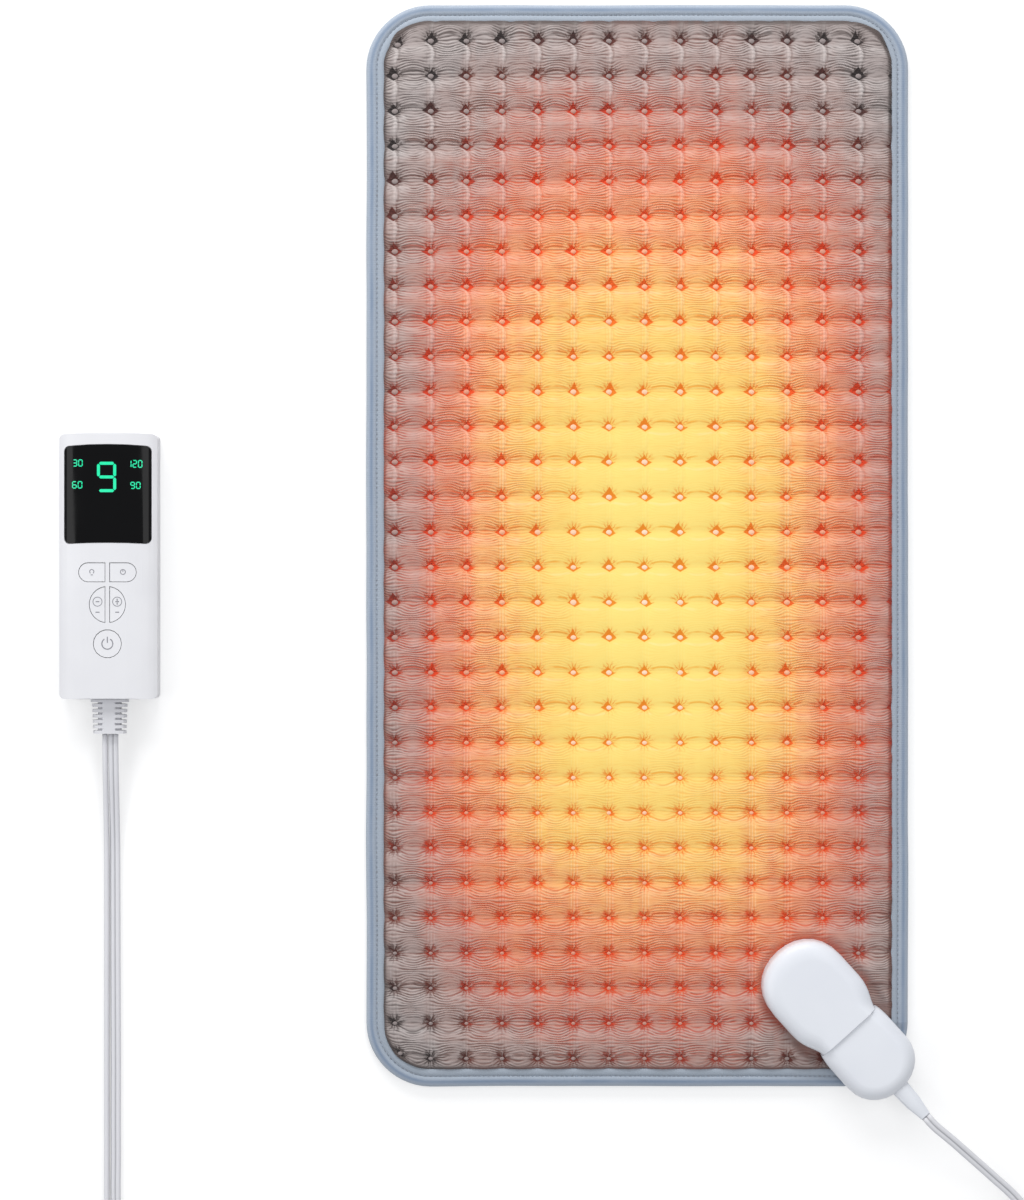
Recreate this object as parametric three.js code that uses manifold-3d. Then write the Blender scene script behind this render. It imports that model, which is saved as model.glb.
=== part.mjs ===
// Heating pad with a wired handset, laid out flat on a table.
// Millimetres. X runs across the pad, Y along it, Z up from the table.
// The origin is the middle of the pad's underside.
import * as THREE from 'three';
import { mergeVertices } from 'three/addons/utils/BufferGeometryUtils.js';
import Module from 'manifold-3d';

// Clearances
const FIT = 0.3; // between pieces that rest on each other or pass through each other
const KEY_GAP = 0.35; // round each key in its hole
const SEAM = 0.3; // between the two halves of a housing

// Pad
const PAD_WIDTH = 301;
const PAD_LENGTH = 600;
const PAD_CORNER = 36;
const BINDING_WIDTH = 10.2;
const BINDING_HEIGHT = 6;
const BINDING_TAPE = 1;
const COVER_SHEET = 0.8;
const COVER_TUCK = 7; // how far a cover's edge reaches into the binding
const CARRIER_SHEET = 0.6;
const WIRE_DIAMETER = 2.2;
const WIRE_RUNS = 10;
const WIRE_MARGIN = 42; // from the pad's edge to the outer run of the wire
const WIRE_TURN_MARGIN = 56; // from the pad's end to where the runs turn
const WADDING = 1.7;
const TUFT_COLUMNS = 15;
const TUFT_ROWS = 30;
const TUFT_PITCH_X = 19.7;
const TUFT_PITCH_Y = 19.4;
const TUFT_SHIFT_X = 4;
const TUFT_SHIFT_Y = -2;
const TUFT_SHEET = 0.6; // cover left over the wadding at a sewn point
const PILLOW_RISE = 3.4; // from a sewn point to the top of a pillow
const CUTOUT_LENGTH = 14;
const CUTOUT_WIDTH = 6;
const CUTOUT_HEIGHT = 2;

// Pad connector, along its own axis from the seam between socket and plug
const SEAM_FROM_SIDE = 34.4;
const SEAM_FROM_END = 32.5;
const CONNECTOR_TURN = -47.9; // degrees from X
const SOCKET_LENGTH = 58;
const SOCKET_WIDTH = 49.5;
const SOCKET_MOUTH = 38.6;
const SOCKET_HEIGHT = 16;
const SOCKET_BASE = 2;
const PLUG_LENGTH = 43;
const PLUG_WIDTH = 43;
const PLUG_SHOULDER = 40.4;
const PLUG_HEIGHT = 14.4;
const SHELL_WALL = 2;
const DOME_INSET = 0.34; // share of the outline taken by the rounded top edge
const DOME_RISE = 6;
const NOSE_WIDTH = 25;
const NOSE_HEIGHT = 8;
const NOSE_LENGTH = 14;
const NOSE_ROOT = 9;
const CONTACTS = 3;
const CONTACT_PITCH = 7.5;
const PIN_DIAMETER = 2.2;
const PIN_REACH = 10;
const SLEEVE_WALL = 0.6;
const BLOCK_LENGTH = 11;
const PLATE_LENGTH = 44;
const PLATE_WIDTH = 40;
const PLATE_CORNER = 8;
const PLUG_TRAVEL = 20;
const RELIEF_LENGTH = 20;
const RELIEF_ROOT_WIDTH = 10.5;
const RELIEF_ROOT_HEIGHT = 7;
const RELIEF_TUCK = 5;

// Handset
const HANDSET_X = -291.4;
const HANDSET_Y = -11.3;
const HANDSET_WIDTH = 54;
const HANDSET_LENGTH = 146.5;
const HANDSET_HEIGHT = 23;
const HANDSET_CORNER = 3;
const HANDSET_ARCH = 0.9;
const HANDSET_WALL = 2;
const HANDSET_SPLIT = 10.5;
const CROWN_DROP = 4.6;
const CROWN_POWER = 4;
const LENS_WIDTH = 47.6;
const LENS_LENGTH = 54.3;
const LENS_CENTRE = 39.4;
const LENS_CORNER = 3.2;
const LENS_ARCH = 0.9;
const LENS_DEPTH = 1.3;
const LENS_SINK = 0.15;
const LENS_LEDGE = 2.2;
const KEY_SINK = 0.3;
const KEY_TRAVEL = 0.6;
const KEY_FLANGE = 0.7;
const KEY_FLANGE_SHEET = 1.3;
const KEY_SPLIT = 2.2;
const PILL_REACH = 16;
const PILL_HEIGHT = 10.8;
const PILL_CENTRE = -3.6;
const MOON_DIAMETER = 20.2;
const MOON_CENTRE = -21.3;
const POWER_DIAMETER = 15.8;
const POWER_CENTRE = -42.8;
const BOARD_SHEET = 1.6;
const BOARD_WIDTH = 36;
const BOARD_LENGTH = 128;
const SWITCH_SIDE = 6;
const SWITCH_HEIGHT = 3.2;
const SWITCH_TIP = 0.8;
const BOSS_DIAMETER = 6;
const BOSS_INSET = 6;
const SCREW_DIAMETER = 2.6;
const SCREW_HEAD = 5;
const SCREW_HEAD_SHEET = 1.6;
const SCREW_SINK = 0.8;
const RIBS = 6;
const RIB_PITCH = 2.93;
const RIB_SHEET = 1.7;
const RIB_WIDTH = 19.3;
const RIB_TAPER = 0.22; // each rib is this much narrower than the one before
const RIB_HEIGHT = 11;
const COLLAR_WIDTH = 20.8;
const COLLAR_LENGTH = 1.8;
const SPINE_WIDTH = 7.5;
const CORE_WIDTH = 13;
const CORE_HEIGHT = 7;
const BOOT_TUCK = 4;

// Leads
const PAD_LEAD_WIDTH = 5.6;
const PAD_LEAD_HEIGHT = 3;
const MAINS_LEAD_WIDTH = 2.8; // the mains lead stands on its narrow edge
const MAINS_LEAD_HEIGHT = 4.8;
const LEAD_STEPS = 64;
const PAD_LEAD_POINTS = [
  [-289.5, -104.1, 11], [-289.5, -112, 10.8], [-289.5, -128, 8.8], [-289.5, -146, 5.4],
  [-289.5, -164, 2.7], [-289.5, -184, 1.8], [-289.4, -230, 1.7], [-289.2, -285, 1.7],
  [-289.2, -335, 1.7], [-288.6, -372, 1.7], [-283, -396, 1.7], [-268, -413, 1.7],
  [-245, -421, 1.7], [-190, -424, 1.7], [-110, -422, 1.7], [-30, -423, 1.7],
  [60, -424, 1.7], [140, -420, 1.7], [186, -414.5, 1.7], [204, -409, 1.7],
  [215, -398, 1.8], [219.4, -383.5, 2.3], [216.6, -370.5, 3.4], [208.8, -360.3, 4.9],
  [197, -349.4, 7.3], [184, -337.7, 10.2], [172.6, -327.6, 12.8], [163.4, -319.8, 14.3],
  [158.7, -314.6, 14.6],
];
const MAINS_LEAD_POINTS = [
  [-294.1, -104.1, 11], [-294.1, -112, 10.8], [-294.1, -128, 9], [-294.1, -146, 6],
  [-294.1, -164, 3.7], [-294.1, -184, 2.7], [-294.1, -230, 2.6], [-294.1, -285, 2.6],
  [-294.1, -335, 2.6], [-294.1, -370, 3], [-294.1, -388, 3.4], [-294.1, -396, 3.4],
];
const COIL_INNER = 20.5;
const COIL_PITCH = 3.9;
const COIL_TURNS_IN = 4;
const COIL_TURNS_OUT = 3.75;
const COIL_LIFT = 1; // room for the tie under the coil
const COIL_LAYER_GAP = 0.8;
const COIL_STEPS = 24;
const COIL_TAIL = 26;
const TIE_SHEET = 0.7;
const TIE_WIDTH = 4;
const MAINS_PLUG_LENGTH = 34;
const MAINS_PLUG_WIDTH = 24;
const MAINS_PLUG_HEIGHT = 15;
const BLADE_LENGTH = 17;
const BLADE_WIDTH = 6.3;
const BLADE_SHEET = 1.5;
const BLADE_PITCH = 12.7;
const BLADE_ROOT = 6;

// Facets: steps in a small corner, in a drawn curve and in a key's round side
const CORNER_ARC = 2;
const CURVE_ARC = 7;
const KEY_ARC = 9;
const CORNER_STEPS = 5;
const CROWN_STEPS = 16;
const DOME_STEPS = 4;
const PIN_SIDES = 10;

const wasm = await Module();
wasm.setup();

// Closed triangle mesh to a solid that can be added, cut and intersected
function toSolid(geometry) {
  const bare = geometry.clone();
  bare.deleteAttribute('normal');
  bare.deleteAttribute('uv');
  const welded = mergeVertices(bare, 1e-4);
  return new wasm.Manifold(new wasm.Mesh({
    numProp: 3,
    vertProperties: new Float32Array(welded.attributes.position.array),
    triVerts: new Uint32Array(welded.index.array),
  }));
}

function toGeometry(solid) {
  const mesh = solid.getMesh();
  const geometry = new THREE.BufferGeometry();
  geometry.setAttribute('position', new THREE.BufferAttribute(mesh.vertProperties, 3));
  geometry.setIndex(new THREE.BufferAttribute(mesh.triVerts, 1));
  return geometry;
}

function join(first, ...others) {
  return toGeometry(others.reduce((sum, next) => sum.add(toSolid(next)), toSolid(first)));
}

function cut(first, ...tools) {
  return toGeometry(tools.reduce((rest, next) => rest.subtract(toSolid(next)), toSolid(first)));
}

function meet(first, second) {
  return toGeometry(toSolid(first).intersect(toSolid(second)));
}

// Flat outline raised from one height to another, with rounded edges if asked for
function prism(shape, bottom, top, arc = CORNER_ARC, edge = 0) {
  const geometry = new THREE.ExtrudeGeometry(shape, {
    depth: top - bottom - 2 * edge,
    curveSegments: arc,
    bevelEnabled: edge > 0,
    bevelThickness: edge,
    bevelSize: edge,
    bevelOffset: -edge,
    bevelSegments: 2,
  });
  geometry.translate(0, 0, bottom + edge);
  return geometry;
}

// Section drawn in X and Z, run along Y
function alongY(shape, from, to, arc = CORNER_ARC) {
  const geometry = prism(shape, 0, to - from, arc);
  geometry.rotateX(Math.PI / 2);
  geometry.translate(0, to, 0);
  return geometry;
}

// Section drawn in Y and Z, run along X
function alongX(shape, from, to) {
  const geometry = prism(shape, from, to);
  geometry.rotateX(Math.PI / 2);
  geometry.rotateZ(Math.PI / 2);
  return geometry;
}

function block(x0, x1, y0, y1, z0, z1) {
  const geometry = new THREE.BoxGeometry(x1 - x0, y1 - y0, z1 - z0);
  geometry.translate((x0 + x1) / 2, (y0 + y1) / 2, (z0 + z1) / 2);
  return geometry;
}

function rod(diameter, x, y, bottom, top, sides = PIN_SIDES) {
  const geometry = new THREE.CylinderGeometry(diameter / 2, diameter / 2, top - bottom, sides);
  geometry.rotateX(Math.PI / 2);
  geometry.translate(x, y, (bottom + top) / 2);
  return geometry;
}

function rodAlongX(diameter, from, to, y, z, sides = PIN_SIDES) {
  const geometry = new THREE.CylinderGeometry(diameter / 2, diameter / 2, to - from, sides);
  geometry.rotateZ(Math.PI / 2);
  geometry.translate((from + to) / 2, y, z);
  return geometry;
}

function roundedRect(width, length, corner, x = 0, y = 0) {
  const shape = new THREE.Shape();
  const left = x - width / 2;
  const right = x + width / 2;
  const low = y - length / 2;
  const high = y + length / 2;
  shape.moveTo(left + corner, low);
  shape.lineTo(right - corner, low);
  shape.absarc(right - corner, low + corner, corner, -Math.PI / 2, 0);
  shape.lineTo(right, high - corner);
  shape.absarc(right - corner, high - corner, corner, 0, Math.PI / 2);
  shape.lineTo(left + corner, high);
  shape.absarc(left + corner, high - corner, corner, Math.PI / 2, Math.PI);
  shape.lineTo(left, low + corner);
  shape.absarc(left + corner, low + corner, corner, Math.PI, Math.PI * 1.5);
  return shape;
}

function circle(diameter, x = 0, y = 0) {
  const shape = new THREE.Shape();
  shape.absarc(x, y, diameter / 2, 0, Math.PI * 2);
  return shape;
}

// Skin over a row of equal rings: closed on itself, or with a cap on each end
function skin(rings, wrap = false) {
  const count = rings[0].length;
  const points = rings.flat();
  const faces = [];
  const bands = wrap ? rings.length : rings.length - 1;
  for (let band = 0; band < bands; band += 1) {
    const low = band * count;
    const high = ((band + 1) % rings.length) * count;
    for (let i = 0; i < count; i += 1) {
      const next = (i + 1) % count;
      faces.push(low + i, low + next, high + next, low + i, high + next, high + i);
    }
  }
  if (!wrap) {
    for (const last of [false, true]) {
      const start = last ? (rings.length - 1) * count : 0;
      const ring = last ? rings[rings.length - 1] : rings[0];
      const middle = ring.reduce((sum, p) => sum.add(p), new THREE.Vector3());
      points.push(middle.divideScalar(count));
      for (let i = 0; i < count; i += 1) {
        const pair = [start + i, start + ((i + 1) % count)];
        faces.push(...(last ? pair : pair.reverse()), points.length - 1);
      }
    }
  }
  return facingOut(points, faces);
}

// Mesh from points and faces, turned so that its faces look outward
function facingOut(points, faces) {
  let volume = 0;
  for (let f = 0; f < faces.length; f += 3) {
    const [a, b, c] = [points[faces[f]], points[faces[f + 1]], points[faces[f + 2]]];
    volume += a.dot(new THREE.Vector3().crossVectors(b, c));
  }
  const geometry = new THREE.BufferGeometry().setFromPoints(points);
  geometry.setIndex(volume < 0 ? faces.slice().reverse() : faces);
  return geometry;
}

// Body along X from stations of place, width and height, with rounded flat-sided sections
function taper(stations, z, sides, fullness) {
  return skin(stations.map(([x, width, height]) => {
    const ring = [];
    for (let i = 0; i < sides; i += 1) {
      const angle = ((i + 0.5) / sides) * Math.PI * 2;
      const across = Math.sign(Math.cos(angle)) * Math.abs(Math.cos(angle)) ** fullness;
      const over = Math.sign(Math.sin(angle)) * Math.abs(Math.sin(angle)) ** fullness;
      ring.push(new THREE.Vector3(x, across * width / 2, z + over * height / 2));
    }
    return ring;
  }));
}

// Outline of the pad drawn in by a distance from its edge
function padOutline(inset) {
  const corner = PAD_CORNER - inset;
  const points = [];
  for (let quarter = 0; quarter < 4; quarter += 1) {
    const sideX = quarter === 0 || quarter === 3 ? 1 : -1;
    const sideY = quarter < 2 ? 1 : -1;
    for (let step = 0; step <= CORNER_STEPS; step += 1) {
      const angle = (quarter + step / CORNER_STEPS) * Math.PI / 2;
      points.push(new THREE.Vector2(
        sideX * (PAD_WIDTH / 2 - PAD_CORNER) + corner * Math.cos(angle),
        sideY * (PAD_LENGTH / 2 - PAD_CORNER) + corner * Math.sin(angle),
      ));
    }
  }
  return points;
}

// Band that runs round the pad, from a section of insets and heights
function padBand(section) {
  return skin(section.map(([inset, z]) => (
    padOutline(inset).map((p) => new THREE.Vector3(p.x, p.y, z)))), true);
}

function padSheet(inset, bottom, top) {
  return prism(new THREE.Shape(padOutline(inset)), bottom, top);
}

// Tube with a flat-sided section, kept upright along its way
function lead(path, width, height, sides) {
  const outline = [];
  const bulge = Math.min(width, height) / 2;
  for (let i = 0; i < sides; i += 1) {
    const angle = ((i + 0.5) / sides) * Math.PI * 2 + (height > width ? Math.PI / sides : 0);
    const round = bulge / Math.cos(Math.PI / sides);
    const x = round * Math.cos(angle);
    const y = round * Math.sin(angle);
    outline.push([
      x + Math.sign(Math.round(x * 1e6)) * Math.max(0, width / 2 - bulge),
      y + Math.sign(Math.round(y * 1e6)) * Math.max(0, height / 2 - bulge),
    ]);
  }
  const up = new THREE.Vector3(0, 0, 1);
  const rings = path.map((point, i) => {
    const ahead = path[Math.min(i + 1, path.length - 1)];
    const behind = path[Math.max(i - 1, 0)];
    const along = ahead.clone().sub(behind).normalize();
    const across = new THREE.Vector3().crossVectors(along, up).normalize();
    const over = new THREE.Vector3().crossVectors(across, along);
    return outline.map(([x, y]) => (
      point.clone().addScaledVector(across, x).addScaledVector(over, y)));
  });
  return { geometry: skin(rings), rings };
}

function smoothPath(list, steps) {
  const curve = new THREE.CatmullRomCurve3(list.map((p) => new THREE.Vector3(...p)));
  return curve.getSpacedPoints(steps);
}

// Pieces go into the group under their names
const group = new THREE.Group();
const connector = new THREE.Group();
const handset = new THREE.Group();
const mainsPlug = new THREE.Group();
group.add(connector, handset, mainsPlug);

function piece(name, geometry, finish, parent = group) {
  const mesh = new THREE.Mesh(geometry, new THREE.MeshStandardMaterial(finish));
  mesh.name = name;
  parent.add(mesh);
}

const PLUSH = { color: 0xa89b96, roughness: 0.95, metalness: 0 };
const TAPE = { color: 0xa3b2c4, roughness: 0.85, metalness: 0 };
const FELT = { color: 0xe9e6df, roughness: 0.95, metalness: 0 };
const WIRE = { color: 0xd8cfa8, roughness: 0.6, metalness: 0 };
const WHITE = { color: 0xe6e6e9, roughness: 0.5, metalness: 0 };
const WHITE_COOL = { color: 0xe6e9f0, roughness: 0.45, metalness: 0 };
const SOFT_WHITE = { color: 0xd9dadd, roughness: 0.6, metalness: 0 };
const LEAD_WHITE = { color: 0xe2e2e6, roughness: 0.5, metalness: 0 };
const BLACK_GLOSS = { color: 0x08080a, roughness: 0.08, metalness: 0 };
const BOARD = { color: 0x2f6b3f, roughness: 0.6, metalness: 0 };
const DARK = { color: 0x2a2a2c, roughness: 0.5, metalness: 0 };
const STEEL = { color: 0xb9bcc0, roughness: 0.35, metalness: 1 };
const BRASS = { color: 0xc9a648, roughness: 0.3, metalness: 1 };
const GLASS = { color: 0xdfe6e8, roughness: 0.1, metalness: 0 };

// Heights of the pad's layers
const carrierBottom = COVER_SHEET + FIT;
const wireBottom = carrierBottom + CARRIER_SHEET + FIT;
const waddingBottom = wireBottom + WIRE_DIAMETER + FIT;
const waddingTop = waddingBottom + WADDING;
const coverBottom = waddingTop + FIT;
const tuftTop = coverBottom + TUFT_SHEET;
const pillowTop = tuftTop + PILLOW_RISE;
const coverInset = BINDING_WIDTH + FIT;
const coreInset = coverInset + COVER_SHEET + FIT;
const seat = tuftTop + FIT; // underside of the connector
const edgeBottom = BINDING_HEIGHT - BINDING_TAPE - FIT - COVER_SHEET; // top cover's tucked edge

// Edge binding: a tape folded round the edges of both covers
function bindingSection() {
  const half = BINDING_HEIGHT / 2;
  const section = [[BINDING_WIDTH, 0]];
  for (let i = 0; i <= 6; i += 1) {
    const angle = (i / 6) * Math.PI;
    section.push([half - half * Math.sin(angle), half - half * Math.cos(angle)]);
  }
  section.push([BINDING_WIDTH, BINDING_HEIGHT]);
  section.push([BINDING_WIDTH, BINDING_HEIGHT - BINDING_TAPE]);
  const inside = half - BINDING_TAPE;
  for (let i = 4; i >= 0; i -= 1) {
    const angle = (i / 4) * Math.PI;
    section.push([half - inside * Math.sin(angle), half - inside * Math.cos(angle)]);
  }
  section.push([BINDING_WIDTH, BINDING_TAPE]);
  return section;
}

// Outline of the connector's two halves about its own axis
function socketOutline(grow = 0) {
  const half = SOCKET_WIDTH / 2 + grow;
  const mouth = SOCKET_MOUTH / 2 + grow;
  const back = SOCKET_LENGTH + grow;
  const turn = back - SOCKET_LENGTH * 0.42;
  const ahead = SOCKET_LENGTH * 0.2;
  const shape = new THREE.Shape();
  shape.moveTo(ahead, -mouth);
  shape.lineTo(ahead, mouth);
  shape.lineTo(0, mouth);
  shape.bezierCurveTo(-ahead * 0.5, mouth + 0.6, -ahead * 0.8, half, -ahead * 1.7, half);
  shape.lineTo(-turn, half);
  shape.bezierCurveTo(-turn - SOCKET_LENGTH * 0.27, half, -back, half * 0.56, -back, 0);
  shape.bezierCurveTo(-back, -half * 0.56, -turn - SOCKET_LENGTH * 0.27, -half, -turn, -half);
  shape.lineTo(-ahead * 1.7, -half);
  shape.bezierCurveTo(-ahead * 0.8, -half, -ahead * 0.5, -mouth - 0.6, 0, -mouth);
  return shape;
}

function plugOutline(grow = 0) {
  const half = PLUG_WIDTH / 2 + grow;
  const shoulder = PLUG_SHOULDER / 2 + grow;
  const end = PLUG_LENGTH + grow;
  const turn = end - PLUG_LENGTH * 0.46;
  const behind = PLUG_LENGTH * 0.2;
  const shape = new THREE.Shape();
  shape.moveTo(-behind, shoulder);
  shape.lineTo(-behind, -shoulder);
  shape.lineTo(0, -shoulder);
  shape.bezierCurveTo(PLUG_LENGTH * 0.08, -half, PLUG_LENGTH * 0.2, -half, turn * 0.6, -half);
  shape.lineTo(turn, -half);
  shape.bezierCurveTo(turn + PLUG_LENGTH * 0.28, -half, end, -half * 0.55, end, 0);
  shape.bezierCurveTo(end, half * 0.55, turn + PLUG_LENGTH * 0.28, half, turn, half);
  shape.lineTo(turn * 0.6, half);
  shape.bezierCurveTo(PLUG_LENGTH * 0.2, half, PLUG_LENGTH * 0.08, half, 0, shoulder);
  return shape;
}

// Pebble with upright sides and a rounded, slightly crowned top
function dome(shape, bottom, top, rise) {
  const outline = shape.getPoints(CURVE_ARC);
  if (outline[0].distanceTo(outline[outline.length - 1]) < 1e-6) outline.pop();
  const middle = outline.reduce((sum, p) => sum.add(p), new THREE.Vector2());
  middle.divideScalar(outline.length);
  const rings = [outline.map((p) => new THREE.Vector3(p.x, p.y, bottom))];
  for (let step = 0; step <= DOME_STEPS; step += 1) {
    const angle = (step / DOME_STEPS) * Math.PI / 2;
    const scale = 1 - DOME_INSET * (1 - Math.cos(angle));
    const z = top - rise + rise * Math.sin(angle);
    rings.push(outline.map((p) => new THREE.Vector3(
      middle.x + (p.x - middle.x) * scale, middle.y + (p.y - middle.y) * scale, z)));
  }
  return skin(rings);
}

const far = 400; // reach of cutting blocks beyond any piece
const turned = new THREE.Matrix4().makeRotationZ(CONNECTOR_TURN * Math.PI / 180);
const connectorX = PAD_WIDTH / 2 - SEAM_FROM_SIDE;
const connectorY = -PAD_LENGTH / 2 + SEAM_FROM_END;
turned.setPosition(connectorX, connectorY, 0);

// A cutter drawn about the connector's axis, put where the connector lies on the pad
function underConnector(geometry) {
  return geometry.applyMatrix4(turned);
}

const plateCentre = -SOCKET_LENGTH * 0.48;
const clampScrews = [
  [plateCentre - PLATE_LENGTH * 0.34, -PLATE_WIDTH * 0.26],
  [plateCentre - PLATE_LENGTH * 0.34, PLATE_WIDTH * 0.26],
  [plateCentre + PLATE_LENGTH * 0.38, -PLATE_WIDTH * 0.42],
  [plateCentre + PLATE_LENGTH * 0.38, PLATE_WIDTH * 0.42],
];
const plateOutline = (grow) => roundedRect(
  PLATE_LENGTH + 2 * grow, PLATE_WIDTH + 2 * grow, PLATE_CORNER + grow, plateCentre, 0);
const screwHole = SCREW_DIAMETER + 2 * FIT;

function clampHoles(bottom, top) {
  return clampScrews.map(([x, y]) => underConnector(rod(screwHole, x, y, bottom, top, 5)));
}

// Top cover: pillows between sewn points, one peak to a pillow, drawn down along the binding
function pillows() {
  const points = [];
  const faces = [];
  const columns = TUFT_COLUMNS + 2;
  const rows = TUFT_ROWS + 2;
  const spotX = (c) => (c - (columns - 1) / 2) * TUFT_PITCH_X + TUFT_SHIFT_X;
  const spotY = (r) => (r - (rows - 1) / 2) * TUFT_PITCH_Y + TUFT_SHIFT_Y;
  for (let r = 0; r < rows; r += 1) {
    for (let c = 0; c < columns; c += 1) {
      points.push(new THREE.Vector3(spotX(c), spotY(r), tuftTop));
    }
  }
  for (let r = 0; r < rows - 1; r += 1) {
    for (let c = 0; c < columns - 1; c += 1) {
      const [x, y] = [spotX(c + 0.5), spotY(r + 0.5)];
      const whole = Math.abs(x) < PAD_WIDTH / 2 - coverInset - TUFT_PITCH_X / 4
        && Math.abs(y) < PAD_LENGTH / 2 - coverInset - TUFT_PITCH_Y / 4;
      points.push(new THREE.Vector3(x, y, whole ? pillowTop : tuftTop));
      const low = r * columns + c;
      const corners = [low, low + 1, low + columns + 1, low + columns];
      corners.forEach((corner, i) => faces.push(corner, corners[(i + 1) % 4], points.length - 1));
    }
  }
  const rim = [];
  for (let c = 0; c < columns - 1; c += 1) {
    rim.push(c);
  }
  for (let r = 0; r < rows - 1; r += 1) {
    rim.push(r * columns + columns - 1);
  }
  for (let c = columns - 1; c > 0; c -= 1) {
    rim.push((rows - 1) * columns + c);
  }
  for (let r = rows - 1; r > 0; r -= 1) {
    rim.push(r * columns);
  }
  const floor = points.length;
  rim.forEach((i) => points.push(new THREE.Vector3(points[i].x, points[i].y, edgeBottom)));
  points.push(new THREE.Vector3(TUFT_SHIFT_X, TUFT_SHIFT_Y, edgeBottom));
  rim.forEach((i, k) => {
    const next = (k + 1) % rim.length;
    faces.push(i, floor + k, floor + next, i, floor + next, rim[next]);
    faces.push(floor + next, floor + k, points.length - 1);
  });
  return facingOut(points, faces);
}

const slotBottom = BINDING_TAPE + FIT;
const tuck = BINDING_WIDTH - COVER_TUCK;
const backEdge = padBand([
  [tuck, slotBottom], [coverInset, slotBottom], [coverInset, 0],
  [coverInset + COVER_SHEET, 0], [coverInset + COVER_SHEET, slotBottom + COVER_SHEET],
  [tuck, slotBottom + COVER_SHEET],
]);
const topEdge = padBand([
  [tuck, edgeBottom], [coverInset + COVER_SHEET / 2, edgeBottom],
  [coverInset + COVER_SHEET / 2, edgeBottom + COVER_SHEET], [tuck, edgeBottom + COVER_SHEET],
]);
const quilt = meet(pillows(), padSheet(coverInset, edgeBottom, pillowTop + 1));
const core = padSheet(coverInset + COVER_SHEET, edgeBottom - 1, coverBottom);
const pressed = [
  underConnector(prism(socketOutline(1), tuftTop, far, 3)),
  underConnector(prism(roundedRect(PLUG_LENGTH + 2 * PLUG_TRAVEL, PLUG_WIDTH + 2, 1,
    PLUG_LENGTH / 2 + PLUG_TRAVEL, 0), tuftTop, far, 1)),
];

piece('edge_binding', padBand(bindingSection()), TAPE);
piece('back_cover', join(padSheet(coverInset, 0, COVER_SHEET), backEdge), PLUSH);
piece('top_cover', cut(join(quilt, topEdge), core, ...pressed, ...clampHoles(0, far)), PLUSH);
piece('heater_carrier', padSheet(coreInset, carrierBottom, carrierBottom + CARRIER_SHEET), FELT);
piece('wadding', cut(padSheet(coreInset, waddingBottom, waddingTop),
  underConnector(prism(plateOutline(FIT), 0, far))), FELT);

// Heating wire: runs along the pad, joined by half turns, both ends by the connector
function wirePath() {
  const pitch = (PAD_WIDTH - 2 * WIRE_MARGIN) / (WIRE_RUNS - 1);
  const reach = PAD_LENGTH / 2 - WIRE_TURN_MARGIN;
  const z = wireBottom + WIRE_DIAMETER / 2;
  const left = -PAD_WIDTH / 2 + WIRE_MARGIN;
  const back = -reach - pitch;
  const path = [];
  const add = (x, y) => path.push(new THREE.Vector3(x, y, z));
  add(left + pitch * (WIRE_RUNS - 1.6), back);
  add(left + pitch / 2, back);
  for (let step = 1; step < 4; step += 1) {
    const angle = (step / 4) * Math.PI / 2;
    add(left + pitch / 2 * (1 - Math.sin(angle)), back + pitch / 2 * (1 - Math.cos(angle)));
  }
  for (let run = 0; run < WIRE_RUNS; run += 1) {
    const up = run % 2 === 0 ? 1 : -1;
    const x = left + pitch * run;
    add(x, run === 0 ? back + pitch / 2 : -up * reach);
    add(x, up * reach);
    for (let step = 1; step < 6 && run < WIRE_RUNS - 1; step += 1) {
      const angle = (step / 6) * Math.PI;
      add(x + pitch / 2 * (1 - Math.cos(angle)), up * (reach + pitch / 2 * Math.sin(angle)));
    }
  }
  return path;
}

piece('heating_wire', lead(wirePath(), WIRE_DIAMETER, WIRE_DIAMETER, 6).geometry, WIRE);
const wirePitch = (PAD_WIDTH - 2 * WIRE_MARGIN) / (WIRE_RUNS - 1);
[1, -1].forEach((side, i) => {
  const x = side * wirePitch;
  const y = side * PAD_LENGTH * 0.2;
  piece(`thermal_cutout_${i + 1}`, prism(roundedRect(CUTOUT_WIDTH, CUTOUT_LENGTH, 2, x, y),
    wireBottom, wireBottom + CUTOUT_HEIGHT), DARK);
});

// Socket: base and cover on the pad, clamped to a plate inside it
connector.position.set(connectorX, connectorY, 0);
connector.rotation.z = CONNECTOR_TURN * Math.PI / 180;
const socketFloor = seat + SOCKET_BASE;
const socketTop = seat + SOCKET_HEIGHT;
const plugTop = seat + PLUG_HEIGHT;
const contactHeight = seat + PLUG_HEIGHT / 2;
const behindSeam = block(-far, -SEAM / 2, -far, far, -far, far);
const aheadOfSeam = block(SEAM / 2, far, -far, far, -far, far);
const contactSpots = Array.from({ length: CONTACTS }, (_, i) => (
  (i - (CONTACTS - 1) / 2) * CONTACT_PITCH));
const bossDiameter = SCREW_DIAMETER + 2 * FIT + 2.4;
const bossTop = socketFloor + 5;

function noseSection(grow) {
  return roundedRect(NOSE_WIDTH + 2 * grow, NOSE_HEIGHT + 2 * grow, 2 + grow, 0, contactHeight);
}

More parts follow.
